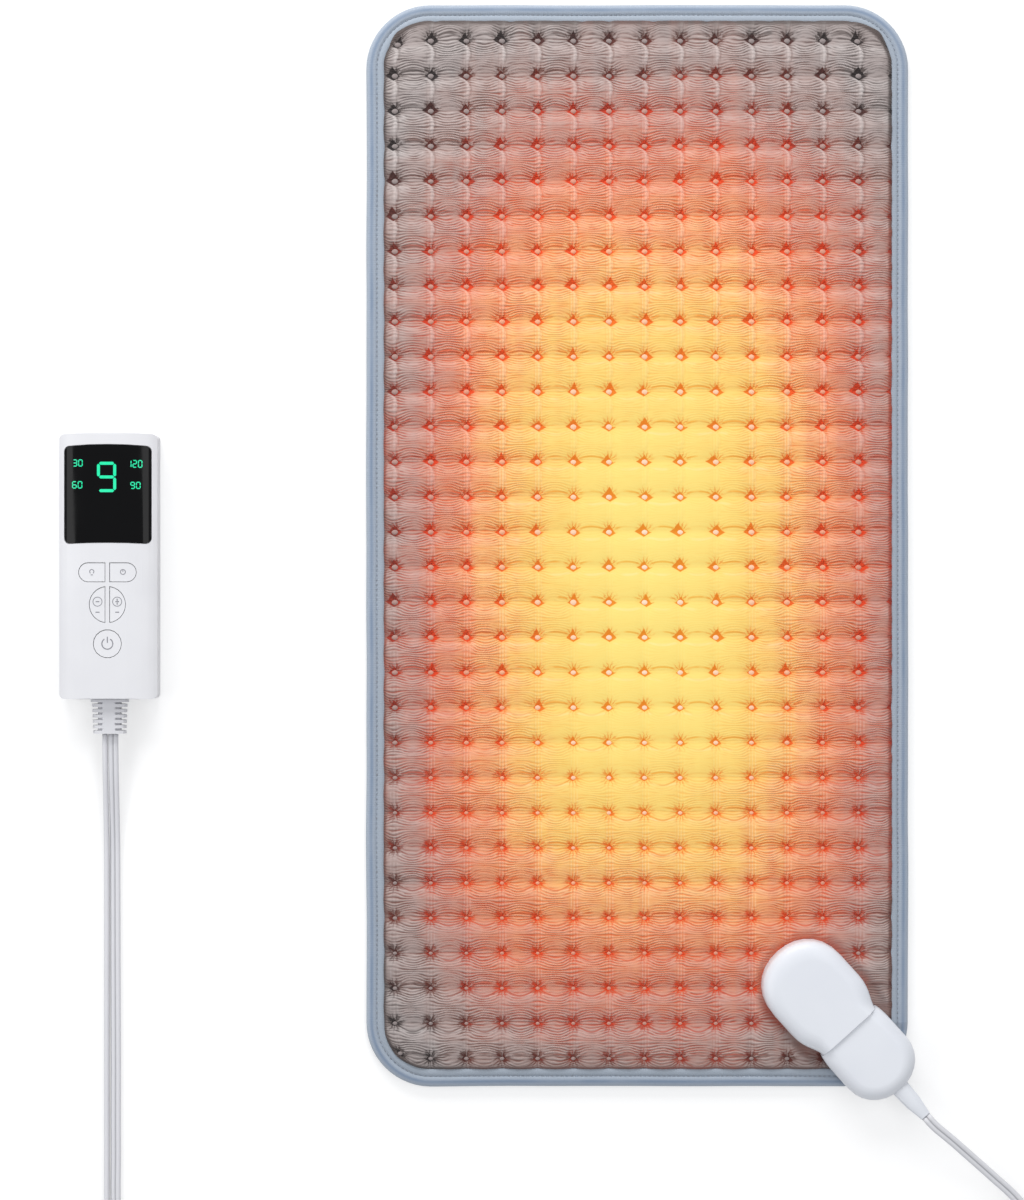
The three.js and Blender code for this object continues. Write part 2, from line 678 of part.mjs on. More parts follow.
const clampBores = clampScrews.map(([x, y]) => rod(screwHole, x, y, 0, bossTop - 0.8));
const clampBosses = clampScrews.map(([x, y]) => rod(bossDiameter, x, y, seat, bossTop));
const socketPlate = meet(prism(socketOutline(), seat, socketFloor, CURVE_ARC), behindSeam);
piece('socket_base', cut(join(socketPlate, ...clampBosses), ...clampBores), WHITE_COOL, connector);
const socketSkin = meet(dome(socketOutline(), socketFloor + SEAM, socketTop, DOME_RISE), behindSeam);
const socketRoom = meet(
  dome(socketOutline(-SHELL_WALL), socketFloor - 1, socketTop - SHELL_WALL, DOME_RISE),
  block(-far, -SHELL_WALL, -far, far, -far, far));
const socketMouth = alongX(noseSection(FIT), -SOCKET_LENGTH / 2, far / 2);
piece('socket_cover', cut(socketSkin, socketRoom, socketMouth), WHITE_COOL, connector);
const blockFront = -NOSE_LENGTH - FIT;
const contactBlock = prism(roundedRect(BLOCK_LENGTH, NOSE_WIDTH - 2, 1,
  blockFront - BLOCK_LENGTH / 2, 0), socketFloor + FIT, contactHeight + NOSE_HEIGHT / 2);
const pinHoles = contactSpots.map((y) => (
  rodAlongX(PIN_DIAMETER + 2 * FIT, -far, blockFront + 1, y, contactHeight)));
piece('contact_block', cut(contactBlock, ...pinHoles), DARK, connector);
contactSpots.forEach((y, i) => {
  piece(`contact_pin_${i + 1}`, rodAlongX(PIN_DIAMETER, blockFront - BLOCK_LENGTH + 1,
    blockFront + PIN_REACH, y, contactHeight), BRASS, connector);
});
const headRoom = clampScrews.map(([x, y]) => rod(SCREW_HEAD + 2 * FIT, x, y, 0, waddingBottom + 1));
const plateHoles = clampScrews.map(([x, y]) => rod(screwHole, x, y, 0, far));
piece('backing_plate', cut(prism(plateOutline(0), waddingBottom, waddingTop),
  ...headRoom, ...plateHoles), WHITE_COOL, connector);
clampScrews.forEach(([x, y], i) => {
  piece(`clamp_screw_${i + 1}`, join(
    rod(SCREW_HEAD, x, y, waddingBottom, waddingBottom + 1 - FIT),
    rod(SCREW_DIAMETER, x, y, waddingBottom, bossTop - 1.2)), STEEL, connector);
});

// Plug: two shells, a nose with the contact sleeves, a tapered relief
const plugSplit = contactHeight;
const plugSkin = meet(dome(plugOutline(), seat, plugTop, DOME_RISE), aheadOfSeam);
const plugRoom = meet(
  dome(plugOutline(-SHELL_WALL), seat + SHELL_WALL, plugTop - SHELL_WALL, DOME_RISE),
  block(SHELL_WALL, far, -far, far, -far, far));
const noseWay = alongX(noseSection(FIT), -far / 2, SHELL_WALL + 2);
const reliefRoot = PLUG_LENGTH - RELIEF_TUCK;
const reliefWay = taper([
  [reliefRoot - 1, RELIEF_ROOT_WIDTH + 2 * FIT, RELIEF_ROOT_HEIGHT + 2 * FIT],
  [far, RELIEF_ROOT_WIDTH + 2 * FIT, RELIEF_ROOT_HEIGHT + 2 * FIT],
], contactHeight, 12, 0.7);
const plugCase = cut(plugSkin, plugRoom, noseWay, reliefWay);
piece('plug_upper_shell', meet(plugCase, block(-far, far, -far, far, plugSplit + SEAM / 2, far)),
  WHITE_COOL, connector);
piece('plug_lower_shell', meet(plugCase, block(-far, far, -far, far, 0, plugSplit - SEAM / 2)),
  WHITE_COOL, connector);
const sleeveBore = PIN_DIAMETER + 2 * FIT;
const sleeveOutside = sleeveBore + 2 * SLEEVE_WALL;
const sleeveStart = blockFront + FIT + 1;
const sleeveHoles = contactSpots.map((y) => (
  rodAlongX(sleeveOutside + 2 * FIT, -far, NOSE_ROOT - 2, y, contactHeight)));
piece('plug_nose', cut(alongX(noseSection(0), -NOSE_LENGTH, NOSE_ROOT), ...sleeveHoles),
  DARK, connector);
contactSpots.forEach((y, i) => {
  piece(`contact_sleeve_${i + 1}`, cut(
    rodAlongX(sleeveOutside, sleeveStart, NOSE_ROOT - 3, y, contactHeight),
    rodAlongX(sleeveBore, -far, NOSE_ROOT - 5, y, contactHeight)), BRASS, connector);
});
const reliefEnd = PLUG_LENGTH + RELIEF_LENGTH;
piece('plug_relief', taper([
  [reliefRoot, RELIEF_ROOT_WIDTH, RELIEF_ROOT_HEIGHT],
  [PLUG_LENGTH, RELIEF_ROOT_WIDTH, RELIEF_ROOT_HEIGHT],
  [PLUG_LENGTH + RELIEF_LENGTH * 0.5, RELIEF_ROOT_WIDTH - 1, RELIEF_ROOT_HEIGHT - 1],
  [reliefEnd - 1.5, PAD_LEAD_WIDTH + 1, PAD_LEAD_HEIGHT + 1],
  [reliefEnd, PAD_LEAD_WIDTH + 0.8, PAD_LEAD_HEIGHT + 0.8],
], contactHeight, 12, 0.7), WHITE_COOL, connector);

// Handset: two shells with a crowned front
handset.position.set(HANDSET_X, HANDSET_Y, 0);
const halfWidth = HANDSET_WIDTH / 2;
const halfLength = HANDSET_LENGTH / 2;

function crownAt(x, drop = 0) {
  return HANDSET_HEIGHT - drop - CROWN_DROP * Math.abs(x / halfWidth) ** CROWN_POWER;
}

// Section of the handset, drawn in by a distance, with its crown lowered by the same or another
function crownSection(inset, drop, bottom, corner) {
  const half = halfWidth - inset;
  const shape = new THREE.Shape();
  shape.moveTo(-half + corner, bottom);
  shape.lineTo(half - corner, bottom);
  if (corner > 0) shape.absarc(half - corner, bottom + corner, corner, -Math.PI / 2, 0);
  for (let i = 0; i <= CROWN_STEPS; i += 1) {
    const x = half * Math.sin((1 - 2 * i / CROWN_STEPS) * Math.PI / 2);
    shape.lineTo(x, crownAt(x, drop));
  }
  if (corner > 0) shape.absarc(-half + corner, bottom + corner, corner, Math.PI, Math.PI * 1.5);
  return shape;
}

// Plan of the handset, with an arched top end
function handsetPlan(inset) {
  const half = halfWidth - inset;
  const low = -halfLength + inset;
  const high = halfLength - HANDSET_ARCH - inset;
  const corner = HANDSET_CORNER;
  const shape = new THREE.Shape();
  shape.moveTo(-half + corner, low);
  shape.lineTo(half - corner, low);
  shape.absarc(half - corner, low + corner, corner, -Math.PI / 2, 0);
  shape.lineTo(half, high - corner);
  shape.absarc(half - corner, high - corner, corner, 0, Math.PI / 2);
  shape.quadraticCurveTo(0, high + 2 * HANDSET_ARCH, -half + corner, high);
  shape.absarc(-half + corner, high - corner, corner, Math.PI / 2, Math.PI);
  shape.lineTo(-half, low + corner);
  shape.absarc(-half + corner, low + corner, corner, Math.PI, Math.PI * 1.5);
  return shape;
}

function lensPlan(grow) {
  const half = LENS_WIDTH / 2 + grow;
  const low = LENS_CENTRE - LENS_LENGTH / 2 - grow;
  const high = LENS_CENTRE + LENS_LENGTH / 2 - LENS_ARCH + grow;
  const corner = LENS_CORNER;
  const shape = new THREE.Shape();
  shape.moveTo(-half + corner, low);
  shape.quadraticCurveTo(0, low + 2 * LENS_ARCH * 0.6, half - corner, low);
  shape.absarc(half - corner, low + corner, corner, -Math.PI / 2, 0);
  shape.lineTo(half, high - corner);
  shape.absarc(half - corner, high - corner, corner, 0, Math.PI / 2);
  shape.quadraticCurveTo(0, high + 2 * LENS_ARCH, -half + corner, high);
  shape.absarc(-half + corner, high - corner, corner, Math.PI / 2, Math.PI);
  shape.lineTo(-half, low + corner);
  shape.absarc(-half + corner, low + corner, corner, Math.PI, Math.PI * 1.5);
  return shape;
}

// Plans of the keys, grown or drawn in by a distance; side is -1, 1 or 0 for a key on the axis
function pillPlan(side, grow) {
  const inner = KEY_SPLIT / 2 - grow;
  const round = PILL_HEIGHT / 2 + grow;
  const middle = PILL_REACH - PILL_HEIGHT / 2;
  const shape = new THREE.Shape();
  const turn = side > 0 ? 0 : Math.PI;
  shape.moveTo(side * inner, PILL_CENTRE - side * round);
  shape.lineTo(side * middle, PILL_CENTRE - side * round);
  shape.absarc(side * middle, PILL_CENTRE, round, turn - Math.PI / 2, turn + Math.PI / 2);
  shape.lineTo(side * inner, PILL_CENTRE + side * round);
  return shape;
}

function moonPlan(side, grow) {
  const inner = KEY_SPLIT / 2 - grow;
  const radius = MOON_DIAMETER / 2 + grow;
  const angle = Math.acos(inner / radius);
  const turn = side > 0 ? 0 : Math.PI;
  const shape = new THREE.Shape();
  shape.absarc(0, MOON_CENTRE, radius, turn - angle, turn + angle);
  shape.closePath();
  return shape;
}

const powerPlan = (side, grow) => circle(POWER_DIAMETER + 2 * grow, 0, POWER_CENTRE);
const pillSpot = (KEY_SPLIT / 2 + PILL_REACH) / 2;
const moonSpot = (KEY_SPLIT / 2 + MOON_DIAMETER / 2) / 2;
const keys = [
  { name: 'heat_key', plan: pillPlan, side: -1, x: -pillSpot, y: PILL_CENTRE },
  { name: 'timer_key', plan: pillPlan, side: 1, x: pillSpot, y: PILL_CENTRE },
  { name: 'down_key', plan: moonPlan, side: -1, x: -moonSpot, y: MOON_CENTRE },
  { name: 'up_key', plan: moonPlan, side: 1, x: moonSpot, y: MOON_CENTRE },
  { name: 'power_key', plan: powerPlan, side: 0, x: 0, y: POWER_CENTRE },
];

const bossX = halfWidth - BOSS_INSET;
const bossY = halfLength - BOSS_INSET - HANDSET_ARCH;
const bossSpots = [[-bossX, -bossY], [bossX, -bossY], [-bossX, bossY], [bossX, bossY]];
const boardBottom = HANDSET_SPLIT + SEAM / 2 + FIT;
const boardTop = boardBottom + BOARD_SHEET;
const switchTop = boardTop + FIT + SWITCH_HEIGHT + SWITCH_TIP;
const flangeTop = crownAt(PILL_REACH + KEY_FLANGE, HANDSET_WALL) - FIT;
const flangeBottom = flangeTop - KEY_FLANGE_SHEET;
const stemBottom = switchTop + KEY_TRAVEL + FIT / 2;
const screwEnd = HANDSET_SPLIT + 5;
const bootHeight = 11;
const bootEnd = -halfLength;

function bootRing(from, to, width, height) {
  return alongY(roundedRect(width, height, height * 0.4, 0, bootHeight), from, to, 1);
}

const bootWay = bootRing(-far, -halfLength + HANDSET_WALL + 1, CORE_WIDTH + 2 * FIT,
  CORE_HEIGHT + 2 * FIT);
const caseOutside = meet(
  alongY(crownSection(0, 0, 0, HANDSET_CORNER), -far, far),
  prism(handsetPlan(0), -HANDSET_CORNER, HANDSET_HEIGHT + 0.2, 3, 1.2));
const caseRoom = meet(
  alongY(crownSection(HANDSET_WALL, HANDSET_WALL, HANDSET_WALL, 0), -far, far),
  prism(handsetPlan(HANDSET_WALL), 0, HANDSET_HEIGHT));
const frontHalf = meet(caseOutside, block(-far, far, -far, far, HANDSET_SPLIT + SEAM / 2, far));
const backHalf = meet(caseOutside, block(-far, far, -far, far, 0, HANDSET_SPLIT - SEAM / 2));
const lensPocket = cut(prism(lensPlan(FIT), 0, far, 4),
  alongY(crownSection(-1, LENS_SINK + LENS_DEPTH + FIT, -far, 0), -far, far));
const keyHoles = keys.map((key) => prism(key.plan(key.side, 0), HANDSET_SPLIT + 2, far, KEY_ARC));
const frontBosses = meet(
  join(...bossSpots.map(([x, y]) => rod(BOSS_DIAMETER, x, y, HANDSET_SPLIT + SEAM / 2, far, 14))),
  caseOutside);
const frontBores = bossSpots.map(([x, y]) => (
  rod(screwHole, x, y, 0, screwEnd + 0.6)));
piece('front_shell', cut(join(cut(frontHalf, caseRoom), frontBosses), lensPocket,
  prism(lensPlan(-LENS_LEDGE), HANDSET_SPLIT + 2, far), ...keyHoles, ...frontBores, bootWay),
WHITE, handset);
const backBosses = bossSpots.map(([x, y]) => (
  rod(BOSS_DIAMETER, x, y, 1, HANDSET_SPLIT - SEAM / 2, 14)));
const headPits = bossSpots.map(([x, y]) => (
  rod(SCREW_HEAD + 2 * FIT, x, y, -1, SCREW_SINK + SCREW_HEAD_SHEET + FIT, 14)));
const boardPosts = [-1, 1].flatMap((sx) => [-1, 1].map((sy) => (
  rod(4, sx * BOARD_WIDTH * 0.4, sy * BOARD_LENGTH * 0.34, 1, boardBottom - FIT))));
piece('back_shell', cut(join(cut(backHalf, caseRoom), ...backBosses, ...boardPosts),
  ...headPits, ...frontBores, bootWay), WHITE, handset);
bossSpots.forEach(([x, y], i) => {
  piece(`case_screw_${i + 1}`, join(
    rod(SCREW_HEAD, x, y, SCREW_SINK, SCREW_SINK + SCREW_HEAD_SHEET, 12),
    rod(SCREW_DIAMETER, x, y, SCREW_SINK, screwEnd)), STEEL, handset);
});
const lensBand = cut(alongY(crownSection(0, LENS_SINK, 0, 0), -far, far),
  alongY(crownSection(-1, LENS_SINK + LENS_DEPTH, -far, 0), -far * 2, far * 2));
piece('display_lens', meet(lensBand, prism(lensPlan(0), 0, far, 4)), BLACK_GLOSS, handset);

// Keys: cap in its hole, wider flange behind the wall, stem over the switch
for (const key of keys) {
  const cap = meet(prism(key.plan(key.side, -KEY_GAP), flangeBottom, far, KEY_ARC),
    alongY(crownSection(0, KEY_SINK, 0, 0), -far, far));
  const flange = prism(key.plan(key.side, KEY_FLANGE), flangeBottom, flangeTop);
  const stem = rod(4, key.x, key.y, stemBottom, flangeBottom + 0.5, 12);
  piece(key.name, join(cap, flange, stem), WHITE, handset);
  const box = SWITCH_SIDE / 2;
  piece(key.name.replace('key', 'switch'), join(
    block(key.x - box, key.x + box, key.y - box, key.y + box, boardTop + FIT,
      boardTop + FIT + SWITCH_HEIGHT),
    rod(3.4, key.x, key.y, boardTop + 1, switchTop, 12)), DARK, handset);
}

piece('circuit_board', block(-BOARD_WIDTH / 2, BOARD_WIDTH / 2, -BOARD_LENGTH / 2,
  BOARD_LENGTH / 2, boardBottom, boardTop), BOARD, handset);
const moduleTop = crownAt(BOARD_WIDTH / 2, LENS_SINK + LENS_DEPTH) - 1;
const moduleWidth = BOARD_WIDTH - 2;
const moduleLength = LENS_LENGTH - 2 * LENS_LEDGE - 8;
piece('display_module', prism(roundedRect(moduleWidth, moduleLength, 1, 0, LENS_CENTRE - 3),
  boardTop + FIT, moduleTop), DARK, handset);
const underBoard = boardBottom - FIT;
piece('mains_capacitor', prism(roundedRect(13, 18, 1.5, -5, -28), HANDSET_WALL + 1, underBoard),
  BRASS, handset);
piece('triac', join(block(4, 14, -12, -7.5, HANDSET_WALL + 1, underBoard),
  block(4, 14, -13.5, -11, HANDSET_WALL + 1, underBoard - 4)), DARK, handset);
const fuseHeight = (HANDSET_WALL + underBoard) / 2;
piece('mains_fuse', join(rodAlongX(5, -13, 7, -48, fuseHeight, 12),
  block(-12, -9, -49, -47, fuseHeight, underBoard),
  block(3, 6, -49, -47, fuseHeight, underBoard)), GLASS, handset);

// Ribbed boot where the leads leave the handset
const boot = [
  bootRing(bootEnd - COLLAR_LENGTH, bootEnd - FIT, COLLAR_WIDTH, RIB_HEIGHT + 0.8),
  bootRing(bootEnd - RIBS * RIB_PITCH - COLLAR_LENGTH + 0.6, bootEnd + BOOT_TUCK,
    CORE_WIDTH, CORE_HEIGHT),
  alongY(roundedRect(SPINE_WIDTH, RIB_HEIGHT, 1, 0, bootHeight),
    bootEnd - RIBS * RIB_PITCH - COLLAR_LENGTH + 0.6, bootEnd - 0.5),
];
for (let rib = 0; rib < RIBS; rib += 1) {
  const top = bootEnd - COLLAR_LENGTH - 1 - rib * RIB_PITCH;
  boot.push(bootRing(top - RIB_SHEET, top, RIB_WIDTH - rib * RIB_TAPER, RIB_HEIGHT));
}
piece('handset_relief', join(...boot), SOFT_WHITE, handset);

// Leads on the table
piece('pad_lead', lead(smoothPath(PAD_LEAD_POINTS, LEAD_STEPS), PAD_LEAD_WIDTH,
  PAD_LEAD_HEIGHT, 8).geometry, LEAD_WHITE);
piece('mains_lead', lead(smoothPath(MAINS_LEAD_POINTS, 30), MAINS_LEAD_WIDTH,
  MAINS_LEAD_HEIGHT, 8).geometry, LEAD_WHITE);

// Coil of the mains lead: a layer spiralling in, a half turn that climbs, a layer spiralling out
const coilStart = new THREE.Vector3(...MAINS_LEAD_POINTS[MAINS_LEAD_POINTS.length - 1]);
const coilOuter = COIL_INNER + COIL_PITCH * COIL_TURNS_IN;
const coilX = coilStart.x - coilOuter;
const coilY = coilStart.y - FIT - MAINS_LEAD_HEIGHT;
const coilLow = COIL_LIFT + MAINS_LEAD_HEIGHT / 2;
const coilHigh = coilLow + MAINS_LEAD_HEIGHT + COIL_LAYER_GAP;

function coilPath() {
  const path = [];
  const add = (turns, radius, z) => {
    const angle = -turns * Math.PI * 2;
    path.push(new THREE.Vector3(
      coilX + radius * Math.cos(angle), coilY + radius * Math.sin(angle), z));
  };
  path.push(new THREE.Vector3(coilStart.x, coilStart.y - FIT, coilLow));
  const turnsIn = COIL_TURNS_IN * COIL_STEPS;
  for (let i = 0; i <= turnsIn; i += 1) {
    add(i / COIL_STEPS, coilOuter - COIL_PITCH * i / COIL_STEPS, coilLow);
  }
  const climb = COIL_STEPS / 2;
  for (let i = 1; i < climb; i += 1) {
    const share = i / climb;
    const inward = COIL_PITCH * Math.min(share, 1 - share) / 2;
    const rise = THREE.MathUtils.smoothstep(share, 0.2, 0.8);
    add(COIL_TURNS_IN + i / COIL_STEPS, COIL_INNER - inward, coilLow + (coilHigh - coilLow) * rise);
  }
  const turnsOut = COIL_TURNS_OUT * COIL_STEPS;
  for (let i = 0; i <= turnsOut; i += 1) {
    add(COIL_TURNS_IN + 0.5 + i / COIL_STEPS, COIL_INNER + COIL_PITCH * i / COIL_STEPS, coilHigh);
  }
  const last = path[path.length - 1];
  for (const share of [0.3, 0.5, 0.7, 0.8, 1]) {
    const drop = THREE.MathUtils.smoothstep(share, 0.3, 0.8);
    const z = coilHigh + (MAINS_PLUG_HEIGHT / 2 - coilHigh) * drop;
    path.push(new THREE.Vector3(last.x - COIL_TAIL * share, last.y, z));
  }
  return path;
}

// Least distance between two stretches of one lead, measured on the points of its skin
function leastGap(rings, ringsApart) {
  let least = Infinity;
  for (let i = 0; i < rings.length; i += 1) {
    for (let j = i + ringsApart; j < rings.length; j += 1) {
      for (const point of rings[i]) {
        for (const other of rings[j]) {
          least = Math.min(least, point.distanceTo(other));
        }
      }
    }
  }
  return least;
}

const coil = lead(coilPath(), MAINS_LEAD_WIDTH, MAINS_LEAD_HEIGHT, 6);
piece('mains_coil', coil.geometry, LEAD_WHITE);
console.log(`mains_coil: least gap to itself ${leastGap(coil.rings, COIL_STEPS / 2).toFixed(2)} mm`);

// Tie round the coil
const coilSpan = coilOuter - COIL_INNER + MAINS_LEAD_WIDTH + 4 * FIT;
const coilRise = coilHigh - coilLow + MAINS_LEAD_HEIGHT + 2 * FIT;
const tieMiddle = coilX - (COIL_INNER + coilOuter) / 2;
const tieHeight = (coilLow + coilHigh) / 2;
piece('coil_tie', cut(
  alongY(roundedRect(coilSpan + 2 * TIE_SHEET, coilRise + 2 * TIE_SHEET, 1.5, tieMiddle, tieHeight),
    coilY - TIE_WIDTH / 2, coilY + TIE_WIDTH / 2),
  alongY(roundedRect(coilSpan, coilRise, 0.8, tieMiddle, tieHeight),
    coilY - TIE_WIDTH, coilY + TIE_WIDTH)), DARK);

// Mains plug at the end of the coil's tail, blades pointing away from the coil
const coilEnd = coil.rings[coil.rings.length - 1];
const tailEnd = coilEnd.reduce((sum, p) => sum.add(p.clone()), new THREE.Vector3());
tailEnd.divideScalar(coilEnd.length);
mainsPlug.position.set(tailEnd.x - FIT, tailEnd.y, tailEnd.z);
const plugStations = [
  [0, 6, 7], [-8, 7, 8], [-11, 16, 11], [-14, MAINS_PLUG_WIDTH - 2, MAINS_PLUG_HEIGHT - 1],
  [-MAINS_PLUG_LENGTH + 2, MAINS_PLUG_WIDTH, MAINS_PLUG_HEIGHT],
  [-MAINS_PLUG_LENGTH, MAINS_PLUG_WIDTH - 1.4, MAINS_PLUG_HEIGHT - 1.4],
];
const plugBody = taper(plugStations, 0, 16, 0.5);
const bladeSpots = [-BLADE_PITCH / 2, BLADE_PITCH / 2];
const bladeBlock = (y, grow) => block(-MAINS_PLUG_LENGTH - BLADE_LENGTH,
  -MAINS_PLUG_LENGTH + BLADE_ROOT + grow, y - BLADE_SHEET / 2 - grow, y + BLADE_SHEET / 2 + grow,
  -BLADE_WIDTH / 2 - grow, BLADE_WIDTH / 2 + grow);
piece('mains_plug', cut(plugBody, ...bladeSpots.map((y) => bladeBlock(y, FIT))), LEAD_WHITE, mainsPlug);
bladeSpots.forEach((y, i) => piece(`plug_blade_${i + 1}`, bladeBlock(y, 0), BRASS, mainsPlug));

export default group;
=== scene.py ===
"""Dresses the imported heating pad, its connector, handset and leads, and lights them from above.

Lengths are in metres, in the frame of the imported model: X across the pad, Y along it, Z up. The
leads' ways, the coil, the tape's fold and what the handset shows are listed in millimetres.
"""

import logging
import math
from dataclasses import dataclass
from enum import Enum
from typing import Any

import bmesh
import bpy
from mathutils import Matrix, Vector, noise


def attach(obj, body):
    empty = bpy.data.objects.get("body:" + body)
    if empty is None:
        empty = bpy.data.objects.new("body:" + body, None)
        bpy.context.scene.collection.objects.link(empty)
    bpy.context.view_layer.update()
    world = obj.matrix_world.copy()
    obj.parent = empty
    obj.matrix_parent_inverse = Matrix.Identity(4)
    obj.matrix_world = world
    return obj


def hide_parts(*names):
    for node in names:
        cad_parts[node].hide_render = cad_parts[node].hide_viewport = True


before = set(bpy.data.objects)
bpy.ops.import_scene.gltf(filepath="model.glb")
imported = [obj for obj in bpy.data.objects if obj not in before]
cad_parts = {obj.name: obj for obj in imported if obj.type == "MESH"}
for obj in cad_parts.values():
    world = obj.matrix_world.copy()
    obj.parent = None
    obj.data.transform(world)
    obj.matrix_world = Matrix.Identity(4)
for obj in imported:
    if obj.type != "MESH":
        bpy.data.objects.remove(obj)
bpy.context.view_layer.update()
LOG = logging.getLogger("heating_pad")
MM = 0.001
TURN = 2 * math.pi
# Places along a share from 0 to 1, each with its colour.
Ramp = tuple[tuple[float, str], ...]
# What fade takes: where it starts and ends and, unless they are 0 and 1, what it gives there.
Span = tuple[float, ...]


def linear(colour: str) -> tuple[float, float, float, float]:
    """Turns an sRGB hex colour into linear light.

    Args:
        colour: The colour as "#RRGGBB".

    Returns:
        Red, green, blue and an alpha of one.
    """
    parts = []
    for start in (1, 3, 5):
        value = int(colour[start:start + 2], 16) / 255
        parts.append(value / 12.92 if value <= 0.04045 else ((value + 0.055) / 1.055) ** 2.4)
    return (parts[0], parts[1], parts[2], 1.0)


class Term:
    """A number in a material's nodes that sums can be written with."""

    def __init__(self, tree: bpy.types.NodeTree, socket: bpy.types.NodeSocket) -> None:
        self.tree = tree
        self.socket = socket

    def do(self, operation: str, *others: Any) -> "Term":
        """Adds one sum on this number and others, and gives its result."""
        inputs = dict(enumerate((self, *others)))
        node = add_node(self.tree, "ShaderNodeMath", {"operation": operation}, inputs)
        return Term(self.tree, node.outputs[0])

    def __add__(self, other: Any) -> "Term":
        return self.do("ADD", other)

    def __sub__(self, other: Any) -> "Term":
        return self.do("SUBTRACT", other)

    def __rsub__(self, other: float) -> "Term":
        return self * -1.0 + other

    def __mul__(self, other: Any) -> "Term":
        return self.do("MULTIPLY", other)

    def __truediv__(self, other: Any) -> "Term":
        return self.do("DIVIDE", other)

    def __pow__(self, other: float) -> "Term":
        return self.do("POWER", other)

    def __abs__(self) -> "Term":
        return self.do("ABSOLUTE")

    __radd__ = __add__
    __rmul__ = __mul__


def plug(tree: bpy.types.NodeTree, node: bpy.types.Node, key: str | int, value: Any) -> None:
    """Gives one input of a node its value or link.

    Args:
        tree: The node tree.
        node: The node.
        key: The input's name or number.
        value: A number, a hex colour, a term or a socket.
    """
    if isinstance(value, Term):
        value = value.socket
    if isinstance(value, bpy.types.NodeSocket):
        tree.links.new(value, node.inputs[key])
    else:
        node.inputs[key].default_value = linear(value) if isinstance(value, str) else value


def add_node(
    tree: bpy.types.NodeTree,
    kind: str,
    settings: dict[str, Any] | None = None,
    inputs: dict[str | int, Any] | None = None,
) -> bpy.types.Node:
    """Adds one node with its settings, values and links.

    Args:
        tree: The node tree that gets the node.
        kind: Blender's type name of the node.
        settings: Properties of the node.
        inputs: What its inputs get, by name or number.

    Returns:
        The new node.
    """
    node = tree.nodes.new(kind)
    for name, value in (settings or {}).items():
        setattr(node, name, value)
    for key, value in (inputs or {}).items():
        plug(tree, node, key, value)
    return node


def fade(value: Any, start: float, end: float, low: float = 0.0, high: float = 1.0) -> Any:
    """Maps a number or a term from one span smoothly onto another."""
    if isinstance(value, Term):
        inputs = dict(enumerate((value, start, end, low, high)))
        settings = {"interpolation_type": "SMOOTHSTEP"}
        return Term(value.tree, add_node(value.tree, "ShaderNodeMapRange", settings, inputs).outputs[0])
    share = min(1.0, max(0.0, (value - start) / (end - start)))
    return low + (high - low) * share * share * (3 - 2 * share)


def largest(first: Any, *others: Any) -> Any:
    """Gives the largest of some numbers, or of some terms."""
    if not isinstance(first, Term):
        return max(first, *others)
    for other in others:
        first = first.do("MAXIMUM", other)
    return first


def exponent(power: Any) -> Any:
    """Gives e to a power that is a number or a term."""
    return power.do("EXPONENT") if isinstance(power, Term) else math.exp(power)


